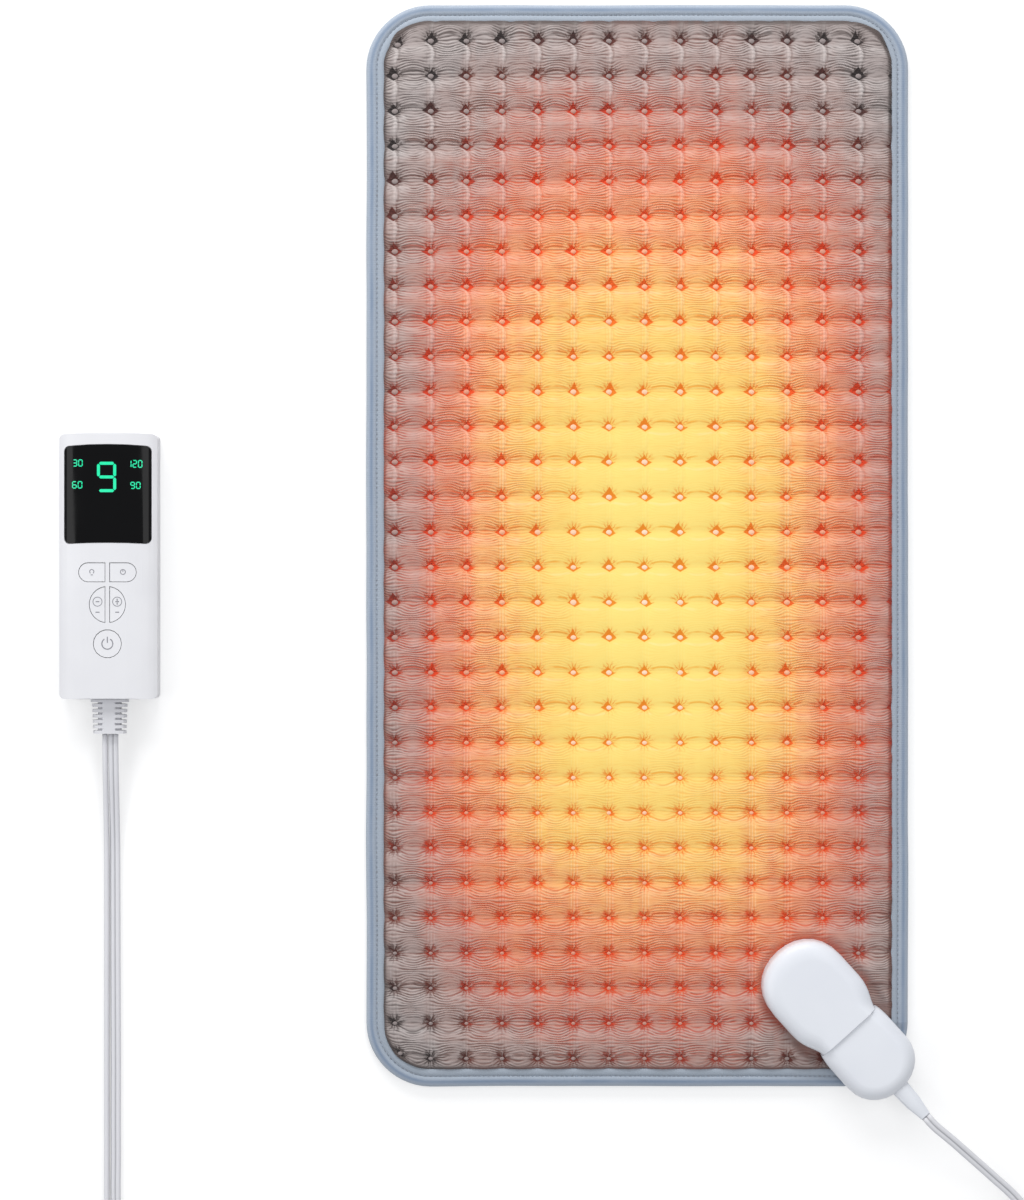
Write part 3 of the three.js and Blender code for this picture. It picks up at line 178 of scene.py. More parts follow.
class Painter:
    """Adds nodes to one material and leads them to its shader."""

    def __init__(self, material: bpy.types.Material) -> None:
        material.use_nodes = True
        self.tree = material.node_tree
        self.shader = self.tree.nodes["Principled BSDF"]

    def add(self, kind: str, settings: dict | None = None, inputs: dict | None = None) -> bpy.types.Node:
        """Adds one node to the material."""
        return add_node(self.tree, kind, settings, inputs)

    def set(self, name: str, value: Any) -> None:
        """Sets or links one input of the shader."""
        plug(self.tree, self.shader, name, value)

    def place(self) -> bpy.types.NodeSocket:
        """Gives the spot's place on the object."""
        return self.add("ShaderNodeTexCoord").outputs["Object"]

    def attribute(self, name: str) -> Term:
        """Gives a number that the mesh keeps at its points."""
        return Term(self.tree, self.add("ShaderNodeAttribute", {"attribute_name": name}).outputs["Fac"])

    def split(self, kind: str, socket: bpy.types.NodeSocket) -> list[Term]:
        """Splits a place or a colour into its three parts."""
        return [Term(self.tree, part) for part in self.add(kind, inputs={0: socket}).outputs[:3]]

    def noise(
        self, place: Any, grain: float, detail: float = 2.0, stretch: tuple[float, ...] | None = None
    ) -> Term:
        """Adds noise.

        Args:
            place: Where it is read.
            grain: Its grain in metres.
            detail: How many finer layers it has.
            stretch: What the place is multiplied by first.

        Returns:
            The noise, about 0 to 1.
        """
        if stretch:
            place = self.add("ShaderNodeMapping", inputs={"Vector": place, "Scale": stretch}).outputs[0]
        inputs = {"Vector": place, "Scale": 1 / grain, "Detail": detail}
        return Term(self.tree, self.add("ShaderNodeTexNoise", inputs=inputs).outputs["Fac"])

    def patches(self, flat: Any, across: float, along: float) -> Term:
        """Adds noise on the flat cloth with its own grain across and along."""
        return self.noise(flat, 1.0, stretch=(1 / across, 1 / along, 1.0))

    def ramp(self, share: Term, stops: Ramp) -> bpy.types.NodeSocket:
        """Adds a run of colours along a share from 0 to 1.

        Args:
            share: What picks the colour.
            stops: Places with their hex colours, in order.

        Returns:
            The colour.
        """
        node = self.add("ShaderNodeValToRGB", inputs={"Fac": share})
        elements = node.color_ramp.elements
        elements[0].position, elements[-1].position = stops[0][0], stops[-1][0]
        elements[0].color, elements[-1].color = linear(stops[0][1]), linear(stops[-1][1])
        for spot, colour in stops[1:-1]:
            elements.new(spot).color = linear(colour)
        return node.outputs["Color"]

    def blend(self, share: Term, first: Any, second: Any) -> bpy.types.NodeSocket:
        """Mixes two colours, given as hex colours or sockets, by a share."""
        inputs = {0: share, 6: first, 7: second}
        return self.add("ShaderNodeMix", {"data_type": "RGBA"}, inputs).outputs[2]

    def relief(self, height: Term, deep: float) -> None:
        """Gives the shader a bump.

        Args:
            height: Height from 0 to 1.
            deep: What a height of 1 is in metres.
        """
        bump = self.add("ShaderNodeBump", inputs={"Strength": 1.0, "Distance": deep, "Height": height})
        self.set("Normal", bump.outputs["Normal"])


# Most of what noise gives lies in this span.
NOISE_SPAN: Span = (0.3, 0.7)


@dataclass(frozen=True)
class Finish:
    """A material with its colour and gloss, and a way to paint its own pattern."""

    name: str
    colour: str
    roughness: float

    def make(self) -> bpy.types.Material:
        """Gives the Blender material, made once."""
        made = bpy.data.materials.get(self.name)
        if made is None:
            made = bpy.data.materials.new(self.name)
            kit = Painter(made)
            kit.set("Base Color", self.colour)
            kit.set("Roughness", self.roughness)
            self.paint(kit)
        return made

    def paint(self, kit: Painter) -> None:
        """Adds the finish's own pattern to the shader."""


@dataclass(frozen=True)
class MouldedPlastic(Finish):
    """Plastic from a spark-eroded mould: an even matt skin whose tiny grain softens each reflection."""

    drift: float = 38 * MM
    grain: float = 0.7 * MM
    deep: float = 0.012 * MM
    shade: str = "#DCDCE0"
    shaded: Span = (0.35, 0.75, 0.0, 0.35)
    duller: float = 0.05
    glossier: float = 0.04

    def paint(self, kit: Painter) -> None:
        """Adds slow drifts of colour and gloss and the mould's grain."""
        place = kit.place()
        drift = kit.noise(place, self.drift)
        kit.set("Base Color", kit.blend(fade(drift, *self.shaded), self.colour, self.shade))
        gloss = (self.roughness - self.glossier, self.roughness + self.duller)
        kit.set("Roughness", fade(drift, *NOISE_SPAN, *gloss))
        kit.relief(kit.noise(place, self.grain, 3.0), self.deep)


@dataclass(frozen=True)
class ExtrudedJacket(Finish):
    """Soft plastic drawn through a die: faint lines along the lead and a soft shine."""

    line: float = 0.5 * MM
    line_stretch: float = 0.05
    deep: float = 0.03 * MM
    # Painted shade in the groove between the cores.
    groove_shade: str = "#A3A3A8"

    def paint(self, kit: Painter) -> None:
        """Adds the die's lines along the lead and painted shade in its groove."""
        along = kit.attribute("along") * self.line_stretch
        place = kit.add("ShaderNodeCombineXYZ", inputs={0: kit.attribute("around"), 1: along})
        kit.set("Base Color", kit.blend(kit.attribute("groove"), self.colour, self.groove_shade))
        kit.relief(kit.noise(place.outputs[0], self.line), self.deep)


@dataclass(frozen=True)
class SmokedAcrylic(Finish):
    """Polished smoked acrylic: near black, with clear reflections along its bent sides."""

    wave: float = 14 * MM
    deep: float = 0.02 * MM
    refraction: float = 1.49
    shine: float = 0.22
    gloss: tuple[float, float] = (0.7, 1.4)

    def paint(self, kit: Painter) -> None:
        """Adds the hard polish and the faint waviness of a moulded window."""
        kit.set("IOR", self.refraction)
        kit.set("Specular IOR Level", self.shine)
        wave = kit.noise(kit.place(), self.wave)
        kit.set("Roughness", fade(wave, *NOISE_SPAN, *(self.roughness * part for part in self.gloss)))
        kit.relief(wave, self.deep)


@dataclass(frozen=True)
class LitSegment(Finish):
    """A lit segment seen through the smoked window: an even mint glow."""

    unlit: str = "#06140F"
    bright: str = "#5CFFD2"
    patch: float = 3 * MM
    uneven: float = 0.25

    def paint(self, kit: Painter) -> None:
        """Adds the light, a little uneven as over one lamp to a segment."""
        kit.set("Base Color", self.unlit)
        share = fade(kit.noise(kit.place(), self.patch), *NOISE_SPAN, 0.0, self.uneven)
        kit.set("Emission Color", kit.blend(share, self.colour, self.bright))
        kit.set("Emission Strength", 1.0)


@dataclass(frozen=True)
class PrintedInk(Finish):
    """Pad-printed ink: a thin flat film whose edge dries a little lighter."""

    thin: str = "#B4B4BA"
    patch: float = 0.8 * MM
    thinned: Span = (0.4, 0.8, 0.0, 0.3)

    def paint(self, kit: Painter) -> None:
        """Adds the film's uneven cover."""
        share = fade(kit.noise(kit.place(), self.patch), *self.thinned)
        kit.set("Base Color", kit.blend(share, self.colour, self.thin))


@dataclass(frozen=True)
class PlatedMetal(Finish):
    """Plated metal: bright, with fine drawn lines that stretch its highlights."""

    line: float = 0.25 * MM
    drawn: tuple[float, float, float] = (1.0, 1.0, 0.08)
    deep: float = 0.006 * MM
    gloss: tuple[float, float] = (0.8, 1.3)

    def paint(self, kit: Painter) -> None:
        """Adds the metal and its drawn lines."""
        kit.set("Metallic", 1.0)
        lines = kit.noise(kit.place(), self.line, stretch=self.drawn)
        kit.set("Roughness", fade(lines, *NOISE_SPAN, *(self.roughness * part for part in self.gloss)))
        kit.relief(lines, self.deep)


@dataclass(frozen=True)
class NonWovenFelt(Finish):
    """Needled felt: pale matt fibres in a random mat."""

    fibre: float = 0.6 * MM
    deep: float = 0.15 * MM
    shade: str = "#C9C4B8"

    def paint(self, kit: Painter) -> None:
        """Adds the mat of fibres."""
        mat = kit.noise(kit.place(), self.fibre, 5.0)
        kit.set("Base Color", kit.blend(fade(mat, *NOISE_SPAN), self.colour, self.shade))
        kit.relief(mat, self.deep)


@dataclass(frozen=True)
class WovenTape(Finish):
    """Polyester tape woven with a cross rib: a cool blue-grey band with a dull sheen.

    The ribs of the real tape are half a millimetre apart, drawn here at one so that they show.
    """

    rib: float = 1.0 * MM
    rib_share: float = 0.3
    thread: float = 0.9 * MM
    drift: float = 25 * MM
    faded: Span = (0.35, 0.7, 0.0, 0.3)
    deep: float = 0.09 * MM
    bands: Ramp = (
        (0.0, "#959FAC"), (0.16, "#AAB4C0"), (0.34, "#B9C2CD"), (0.49, "#A3AFBF"), (0.545, "#7B8CA4"),
        (0.59, "#9FAAB8"), (0.68, "#A6B0BC"), (0.9, "#9AA4B0"), (1.0, "#78828F"),
    )

    def paint(self, kit: Painter) -> None:
        """Adds the ribs, the selvedge's lighter strip and the shade in the sewn groove."""
        kit.set("Sheen Weight", 0.25)
        kit.set("Sheen Roughness", 0.5)
        place = kit.place()
        share = fade(kit.noise(place, self.drift), *self.faded)
        banded = kit.ramp(kit.attribute("around"), self.bands)
        kit.set("Base Color", kit.blend(share, banded, self.colour))
        ribs = (kit.attribute("along") * (TURN / self.rib)).do("SINE")
        kit.relief(ribs * self.rib_share + kit.noise(place, self.thread, 3.0), self.deep)


@dataclass(frozen=True)
class HeatGlow:
    """The warm patch that shows where the pad heats, as an upright oval over the wire: a glow painted into
    the cloth's colour, whose middle also gives off light though the pad is no lamp.
    """

    middle: tuple[float, float] = (7.0 * MM, -28.0 * MM)
    reach: tuple[float, float] = (142.0 * MM, 287.0 * MM)
    reach_back: tuple[float, float] = (146.0 * MM, 257.0 * MM)
    fullness: tuple[float, float] = (3.0, 3.6)
    spread: float = 0.87
    uneven: tuple[tuple[float, float, float], ...] = (
        (55 * MM, 55 * MM, 0.16), (150 * MM, 7 * MM, 0.12), (7 * MM, 190 * MM, 0.12),
    )
    # The cloth's own colour far out, with the painted glow's yellow and orange towards the middle.
    cloth: Ramp = (
        (0.0, "#FFE57E"), (0.2, "#FFE07A"), (0.32, "#FED673"), (0.43, "#FDC970"), (0.51, "#F9B671"),
        (0.58, "#EE9F6E"), (0.67, "#DB8D6D"), (0.77, "#C38D7E"), (0.88, "#AF958E"), (1.0, "#A69A97"),
    )
    # Painted shade in the wrinkles' valleys, the seams, the pressed lines, low places, round the connector
    # and at the edge.
    painted_shade: Ramp = (
        (0.0, "#F7B63A"), (0.25, "#F5A52B"), (0.42, "#F08A20"), (0.55, "#E66216"), (0.69, "#D4480F"),
        (0.79, "#B63B1A"), (0.89, "#743F30"), (1.0, "#40332F"),
    )
    # Painted shade in the pinched hole at each sewn point and in its folds.
    sewn: Ramp = (
        (0.0, "#F0921C"), (0.25, "#EF8417"), (0.42, "#EE6A12"), (0.55, "#E94A0C"), (0.71, "#DA3C0D"),
        (0.81, "#B23015"), (0.9, "#682B20"), (1.0, "#2A2120"),
    )
    # Painted highlight on the wrinkles' crests, the band under each row, the rolls and the pale lines.
    lit: Ramp = (
        (0.0, "#FFEE9C"), (0.3, "#FFE292"), (0.5, "#FFCE9A"), (0.62, "#F9B394"), (0.74, "#DFAA9C"),
        (0.86, "#C9B2AC"), (1.0, "#C6BDBA"),
    )
    bead: Ramp = (
        (0.0, "#FFE2C8"), (0.3, "#FBD0AE"), (0.5, "#F0AE88"), (0.62, "#E29A7C"), (0.76, "#C99180"),
        (0.9, "#9C8A86"), (1.0, "#918684"),
    )

    def share(self, kit: Painter, flat: bpy.types.NodeSocket, cloth: list[Term]) -> Term:
        """Gives how far out of the oval a spot lies, 0 in its middle and 1 beyond its edge.

        Args:
            kit: What adds the nodes.
            flat: The cloth's own place.
            cloth: The parts of that place.

        Returns:
            The share.
        """
        terms = []
        for axis in (0, 1):
            offset = cloth[axis] - self.middle[axis]
            part = largest(offset / self.reach[axis], offset / -self.reach_back[axis])
            terms.append(part ** self.fullness[axis])
        out = (terms[0] + terms[1]) ** (1 / self.fullness[0])
        for across, along, strength in self.uneven:
            out = (kit.patches(flat, across, along) - 0.5) * strength + out
        return out * self.spread


@dataclass(frozen=True)
class Roll:
    """The rolled upper right side of a pillow, where the cloth is drawn to the seam of its column.

    The rolls are plain at the pad's far end and fade out towards the connector.
    """

    reach: float = 2.8 * MM
    sweep: float = 7.0 * MM
    start: float = 1.0 * MM
    bend: float = 1.9 * MM
    lean_from: float = 8.0 * MM
    lean: float = 0.22
    crest: float = 1.0 * MM
    width: float = 4.5 * MM
    seam_offset: float = 0.35 * MM
    seam_width: float = 0.9 * MM
    rising: tuple[float, float] = (0.8 * MM, 2.2 * MM)
    ending: tuple[float, float] = (9.0 * MM, 15.5 * MM)
    fading: tuple[float, float] = (-110.0 * MM, 90.0 * MM)

    def shares(self, side: Any, under: Any, along: Any) -> tuple[Any, Any]:
        """Gives how strongly the roll and its seam show at a spot of the cloth.

        Args:
            side: Distance to the right of the sewn point, a number or a term.
            under: Distance below the row of sewn points, the same.
            along: Place along the pad, the same.

        Returns:
            The strength of the roll and of the seam.
        """
        line = self.reach - self.sweep * exponent((self.start - under) / self.bend)
        inside = line - self.lean * largest(under - self.lean_from, 0.0) - side
        shown = fade(under, *self.rising) * fade(under, *self.ending, 1.0, 0.0) * fade(along, *self.fading)
        roll = fade(inside, 0.0, self.crest) * fade(inside, self.crest, self.width, 1.0, 0.0)
        seam = fade(abs(inside + self.seam_offset), 0.0, self.seam_width, 1.0, 0.0)
        return roll * shown, seam * shown


@dataclass(frozen=True)
class Spot:
    """A spot of the quilted cloth, as seen from the sewn point next to it.

    Attributes:
        flat: The cloth's own place.
        along: Its part along the pad.
        phase: Place between sewn points across and along, each from -0.5 to 0.5.
        side: Distance to the right of the sewn point.
        up: Distance above it.
        away: Distance from it.
        turn: Direction from it.
        rough: Fine noise that frays edges.
        slow: Slow noise that breaks lines and lets them wander.
        glow: How far out of the glow the spot lies.
        low: How near it is to the pad's connector end.
        chance: Three numbers of the sewn point's own.
    """

    flat: bpy.types.NodeSocket
    along: Term
    phase: list[Term]
    side: Term
    up: Term
    away: Term
    turn: Term
    rough: Term
    slow: Term
    glow: Term
    low: Term
    chance: list[Term]


@dataclass(frozen=True)
class PressedLine:
    """A line that sewing presses into the cloth along each row of points, drawn as painted shade or painted
    highlight.

    Attributes:
        below: How far below the row it runs.
        bow: How far it bends up at each point.
        width: How it fades out to its sides.
        broken: How slow noise interrupts it.
    """

    below: float
    bow: float
    width: Span
    broken: Span

    def strength(self, spot: Spot) -> Term:
        """Gives how strongly the line shows at a spot."""
        bend = (spot.phase[0] * TURN).do("COSINE") * self.bow
        return fade(abs(spot.up + self.below - bend), *self.width) * fade(spot.slow, *self.broken)


@dataclass(frozen=True)
class SewnPointShade:
    """Painted shade in the pinched hole at a sewn point: a peak above it with an arm down each side.

    Each point's own chance sways the shade and changes its width and peak, by a factor and from a
    least value. At the connector end the shade is small, and painted shade runs along a slanting fold
    through it.
    """

    sway: tuple[float, float] = (2.2 * MM, -0.95 * MM)
    width: tuple[float, float] = (0.5, 0.8)
    peak: tuple[float, float] = (2.8 * MM, 3.7 * MM)
    fray: tuple[float, float] = (2.0 * MM, -1.2 * MM)
    arms: tuple[float, float] = (-4.9 * MM, 3.7 * MM)
    drop: float = 0.4 * MM
    curve: float = 1.3
    foot_shift: float = 0.3 * MM
    foot_slope: float = 0.6
    foot_depth: float = 2.8 * MM
    low_width: float = 0.42
    low_peak: float = 0.4
    low_foot: float = 0.8 * MM
    top_edge: Span = (-0.45 * MM, 0.45 * MM)
    foot_edge: Span = (-0.3 * MM, 0.3 * MM)
    slant: tuple[float, float] = (0.54, 0.84)
    slant_offset: float = 1.3 * MM
    slant_fray: float = 1.6 * MM
    slant_width: Span = (0.4 * MM, 1.1 * MM, 0.95, 0.0)
    slant_start: Span = (-4.0 * MM, -2.5 * MM)
    slant_end: Span = (3.5 * MM, 6.0 * MM, 1.0, 0.0)

    def strength(self, spot: Spot) -> Term:
        """Gives how dark the painted shade at the sewn point is at a spot."""
        lean, tall, wide = spot.chance
        across = spot.side + (lean * self.sway[0] + self.sway[1])
        above = spot.up + self.drop
        width = (wide * self.width[0] + self.width[1]) * (1.0 - spot.low * self.low_width)
        arm = (largest(across / self.arms[0], across / self.arms[1]) / width).do("MINIMUM", 1.0)
        peak = (tall * self.peak[0] + self.peak[1]) * (1.0 - spot.low * self.low_peak)
        top = (1.0 - arm) ** self.curve * peak + (spot.rough * self.fray[0] + self.fray[1])
        foot = abs(across - self.foot_shift) * self.foot_slope + (spot.low * self.low_foot - self.foot_depth)
        shade_mark = fade(top - above, *self.top_edge) * fade(above - foot, *self.foot_edge)
        return largest(shade_mark, self.slanting(spot) * spot.low)

    def slanting(self, spot: Spot) -> Term:
        """Gives how dark the painted shade along the slanting fold is at a spot."""
        rise, run = self.slant
        along = spot.up * rise - spot.side * run
        off = spot.up * run + spot.side * rise - self.slant_offset + spot.rough * self.slant_fray
        painted_shade = fade(abs(off), *self.slant_width)
        return painted_shade * fade(along, *self.slant_start) * fade(along, *self.slant_end)


@dataclass(frozen=True)
class QuiltedPlush(Finish):
    """Short polyester plush sewn down at a grid of points: fine wrinkles across, puckers at each point.

    The wrinkles of the real cloth are one to two millimetres apart. The glow washes them out. With
    sewn off, it is the plain cloth of the knobs in the points.
    """

    pitch: tuple[float, float] = (19.7 * MM, 19.4 * MM)
    shift: tuple[float, float] = (4.0 * MM, 7.7 * MM)
    sewn: bool = True
    glow: HeatGlow = HeatGlow()
    # How much of the colour the painted glow gives off as light, out from its middle.
    painted_glow: Span = (0.2, 0.62, 0.5, 0.0)
    roll: Roll = Roll()
    shade_mark: SewnPointShade = SewnPointShade()
    low_end: Span = (-40.0 * MM, -170.0 * MM)
    rough_grain: float = 2.2 * MM
    slow_grain: float = 16 * MM
    calm: Span = (0.12, 0.66, 0.14, 1.0)
    # A band of painted highlight under each row of sewn points, where the pillow faces the light.
    crown_below: float = 5.6 * MM
    crown: Span = (0.6 * MM, 4.2 * MM, 0.42, 0.0)
    crest: Span = (0.55, 1.0, 0.0, 0.6)
    valley: Span = (0.55, 0.05, 0.0, 0.8)
    roll_light: float = 0.95
    seam_dark: float = 0.34
    wrinkle: float = 1.45 * MM
    wrinkle_deep: float = 0.42 * MM
    wrinkle_pull: float = 1.2 * MM
    wrinkle_wander: float = 3.2 * MM
    wrinkle_even: Span = (0.35, 0.62, 0.12, 0.36)
    wrinkle_clear: Span = (2.0 * MM, 6.0 * MM, 0.35, 1.0)
    broken_grain: tuple[float, float] = (9 * MM, 1.6 * MM)
    ray_count: float = 6.0
    ray_fray: float = 9.0
    ray_reach: Span = (2.0 * MM, 7.0 * MM, 0.7, 0.0)
    ray_side: Span = (-1.5 * MM, 1.5 * MM, 0.25, 1.0)
    # Painted shade along each row, a painted highlight below it, and painted shade of the swags at the
    # connector end.
    row: PressedLine = PressedLine(
        -2.4 * MM, -0.8 * MM, (0.25 * MM, 0.85 * MM, 0.75, 0.0), (0.42, 0.56, 0.15, 1.0)
    )
    pale: PressedLine = PressedLine(
        4.2 * MM, 0.6 * MM, (0.3 * MM, 1.1 * MM, 0.7, 0.0), (0.44, 0.58, 1.0, 0.1)
    )
    swag: PressedLine = PressedLine(
        3.0 * MM, 1.7 * MM, (0.2 * MM, 0.75 * MM, 0.7, 0.0), (0.45, 0.56, 1.0, 0.1)
    )
    line_clear: Span = (3.0 * MM, 5.0 * MM)
    # The ribs beside each column, painted as stripes of shade and highlight.
    rib: float = 1.9 * MM
    rib_band: Span = (2.2 * MM, 3.6 * MM, 1.0, 0.0)
    rib_dark: Span = (-0.2, -1.0, 0.0, 0.26)
    rib_light: Span = (0.0, 0.9, 0.0, 0.6)
    rib_washed: Span = (0.2, 0.5, 0.25, 1.0)
    rib_faint: Span = (0.62, 0.95, 1.0, 0.45)
    flame_count: float = 13.0
    flame_fray: float = 8.0
    flame_folds: Span = (0.1, 0.9, 0.0, 0.75)
    flame_over: Span = (0.2 * MM, 2.4 * MM)
    flame_low: float = 0.85
    flame_reach: Span = (2.8 * MM, 7.5 * MM, 1.0, 0.0)

    def paint(self, kit: Painter) -> None:
        """Adds the painted glow, the wrinkles, painted highlight and shade on the pillows and pressed lines,
        and painted shade at the sewn points.
        """
        kit.set("Sheen Weight", 0.08)
        kit.set("Sheen Roughness", 0.6)
        flat = kit.add("ShaderNodeAttribute", {"attribute_name": "cloth"}).outputs["Vector"]
        cloth = kit.split("ShaderNodeSeparateXYZ", flat)
        glow = self.glow.share(kit, flat, cloth)
        if not self.sewn:
            self.light(kit, glow, kit.ramp(glow, self.glow.bead))
            return
        cells = [(cloth[axis] - self.shift[axis]) / self.pitch[axis] for axis in (0, 1)]
        points = [cell.do("ROUND") for cell in cells]
        corner = kit.add("ShaderNodeCombineXYZ", inputs=dict(enumerate(points))).outputs[0]
        white = kit.add("ShaderNodeTexWhiteNoise", {"noise_dimensions": "2D"}, {"Vector": corner})
        phase = [cell - point for cell, point in zip(cells, points)]
        side, up = phase[0] * self.pitch[0], phase[1] * self.pitch[1]
        spot = Spot(
            flat=flat, along=cloth[1], phase=phase, side=side, up=up,
            away=(side * side + up * up).do("SQRT"), turn=up.do("ARCTAN2", side),
            rough=kit.patches(flat, self.rough_grain, self.rough_grain),
            slow=kit.patches(flat, self.slow_grain, self.slow_grain),
            glow=glow, low=fade(cloth[1], *self.low_end),
            chance=kit.split("ShaderNodeSeparateColor", white.outputs["Color"]),
        )
        calm = fade(glow, *self.calm)
        height = self.wrinkles(kit, spot)
        under = (cells[1].do("CEIL") - cells[1]) * self.pitch[1]
        roll, seam = self.roll.shares(side, under, spot.along)
        dark, light = self.lines(spot)
        # Painted highlight: a band under each row, the wrinkles' crests and the rolls are painted lighter,
        # as if lit from the pad's far end.
        crown = fade(abs(up + self.crown_below), *self.crown)
        crest = largest(fade(height, *self.crest), crown, roll * self.roll_light) * calm
        # Painted shade: the wrinkles' valleys, the rolls' seams, the pressed lines and the shade kept at the
        # mesh's points are painted darker.
        valley = fade(height, *self.valley) * calm * (1.0 - roll)
        fold = largest(valley, seam * calm * self.seam_dark, dark, kit.attribute("painted_shade"))
        # Painted shade in the pinched hole at each sewn point and in the fine folds round it.
        shade_mark = largest(self.shade_mark.strength(spot), self.fold_shade(spot))
        colour = kit.ramp(glow, self.glow.cloth)
        for share, stops in (
            (largest(crest, light), self.glow.lit), (fold, self.glow.painted_shade), (shade_mark, self.glow.sewn),
        ):
            colour = kit.blend(share, colour, kit.ramp(glow, stops))
        self.light(kit, glow, colour)
        kit.relief(height * calm, self.wrinkle_deep)

    def light(self, kit: Painter, glow: Term, colour: bpy.types.NodeSocket) -> None:
        """Lets the painted glow's middle give off part of its colour as light, which softens the shade on
        its pillows.

        Args:
            kit: What adds the nodes.
            glow: How far out of the glow the spot lies.
            colour: The cloth's colour in full light.
        """
        # Painted glow: the middle of the patch gives off light, though the pad is no lamp.
        painted_glow = fade(glow, *self.painted_glow)
        kit.set("Base Color", kit.blend(painted_glow, colour, "#000000"))
        kit.set("Emission Color", kit.blend(painted_glow, "#000000", colour))
        kit.set("Emission Strength", 1.0)

    def wrinkles(self, kit: Painter, spot: Spot) -> Term:
        """Gives the height of the fine wrinkles that run across and bow to the sewn points.

        Args:
            kit: What adds the nodes.
            spot: The spot.

        Returns:
            The height, about 0 to 1.
        """
        pull = (spot.phase[0] * TURN).do("COSINE") * (spot.phase[1] * TURN).do("SINE")
        level = spot.along + pull * self.wrinkle_pull + spot.slow * self.wrinkle_wander
        wave = (level * (TURN / self.wrinkle)).do("SINE")
        broken = kit.patches(spot.flat, *self.broken_grain)
        height = wave * fade(spot.slow, *self.wrinkle_even) + broken
        rays = (spot.rough * self.ray_fray + spot.turn * self.ray_count).do("SINE")
        near = fade(spot.away, *self.ray_reach) * fade(spot.up, *self.ray_side)
        return height * fade(spot.away, *self.wrinkle_clear) + rays * near

    def lines(self, spot: Spot) -> tuple[Term, Term]:
        """Gives the lines that sewing presses into the cloth along its rows and columns, drawn as painted
        shade and highlight.

        Args:
            spot: The spot.

        Returns:
            The strength of dark lines, with the swags of the connector end, and of light lines.
        """
        clear = fade(spot.away, *self.line_clear)
        ribs = (spot.side * (TURN / self.rib)).do("SINE")
        seen = fade(spot.glow, *self.rib_washed) * fade(spot.glow, *self.rib_faint)
        band = fade(abs(spot.side), *self.rib_band) * clear * seen
        row, pale = self.row.strength(spot) * clear, self.pale.strength(spot) * clear
        dark = largest(fade(ribs, *self.rib_dark) * band, row, self.swag.strength(spot) * spot.low)
        return dark, largest(fade(ribs, *self.rib_light) * band, pale)

    def fold_shade(self, spot: Spot) -> Term:
        """Gives the painted shade of the fine folds round a sewn point, which only reaches up at the pad's
        far end.
        """
        folds = (spot.turn * self.flame_count + spot.rough * self.flame_fray).do("SINE")
        over = largest(fade(spot.up, *self.flame_over), spot.low * self.flame_low)
        return fade(folds, *self.flame_folds) * fade(spot.away, *self.flame_reach) * over


@dataclass(frozen=True)
class PlainPlush(Finish):
    """Short polyester plush left plain: a matt nap with a faint lay along the pad."""

    nap: float = 1.1 * MM
    lay: tuple[float, float, float] = (1.0, 0.4, 1.0)
    deep: float = 0.25 * MM
    shade: str = "#837A76"
    shaded: Span = (0.3, 0.72, 0.0, 0.7)

    def paint(self, kit: Painter) -> None:
        """Adds the nap, stretched along the pad."""
        kit.set("Sheen Weight", 0.2)
        nap = kit.noise(kit.place(), self.nap, 4.0, stretch=self.lay)
        kit.set("Base Color", kit.blend(fade(nap, *self.shaded), self.colour, self.shade))
        kit.relief(nap, self.deep)


# The handset's ABS is a cool white, the connector's a little bluer.
HANDSET_ABS = MouldedPlastic("ABS_moulded_cool_white", "#E9E9EC", 0.42)
KEY_ABS = MouldedPlastic("ABS_moulded_key_white", "#EBEBEE", 0.38)
CONNECTOR_ABS = MouldedPlastic("ABS_moulded_bluish_white", "#E9ECF2", 0.36, shade="#DFE2EB")
RELIEF_PVC = MouldedPlastic("PVC_moulded_soft_grey_white", "#DFDFE3", 0.5, shade="#D2D2D8")
LEAD_PVC = ExtrudedJacket("PVC_extruded_jacket", "#E2E2E6", 0.42)
PLUG_PVC = MouldedPlastic("PVC_overmoulded_plug", "#E2E2E6", 0.45, shade="#D6D6DC")
LENS_ACRYLIC = SmokedAcrylic("acrylic_polished_smoked", "#040405", 0.12)
SEGMENT_LIGHT = LitSegment("LED_segment_mint", "#0AF5AF", 0.3)
KEY_INK = PrintedInk("ink_pad_printed_grey", "#8B8B92", 0.5)
PLUSH = QuiltedPlush("polyester_plush_quilted", "#A89C98", 0.9)
BEAD_PLUSH = QuiltedPlush("polyester_plush_sewn_point", "#B9AEAB", 0.9, sewn=False)
BACK_PLUSH = PlainPlush("polyester_plush_plain", "#A1948F", 0.92)
TAPE = WovenTape("polyester_tape_ribbed", "#A6B0BD", 0.72)
THREAD = PlainPlush("polyester_thread_twisted", "#94A2B5", 0.7, nap=0.6 * MM)
FELT = NonWovenFelt("felt_needled", "#E9E6DF", 0.95)
WIRE_SILICONE = MouldedPlastic("silicone_extruded_cream", "#D8CFA8", 0.5, shade="#C9BE92")
NYLON = MouldedPlastic("nylon_moulded_black", "#2A2A2C", 0.5, shade="#1E1E20")
EPOXY = MouldedPlastic("epoxy_dipped_ochre", "#8C6B33", 0.35, shade="#77592A")
LAMINATE = MouldedPlastic("glass_fibre_laminate_green", "#2F6B3F", 0.45, shade="#275A35")
TIE_RUBBER = MouldedPlastic("rubber_moulded_black", "#2A2A2C", 0.6, shade="#202022")
FUSE_GLASS = SmokedAcrylic("glass_drawn_tube", "#DFE6E8", 0.08)
STEEL = PlatedMetal("steel_zinc_plated", "#BABDC0", 0.32)
BRASS = PlatedMetal("brass_turned", "#C9A648", 0.28)

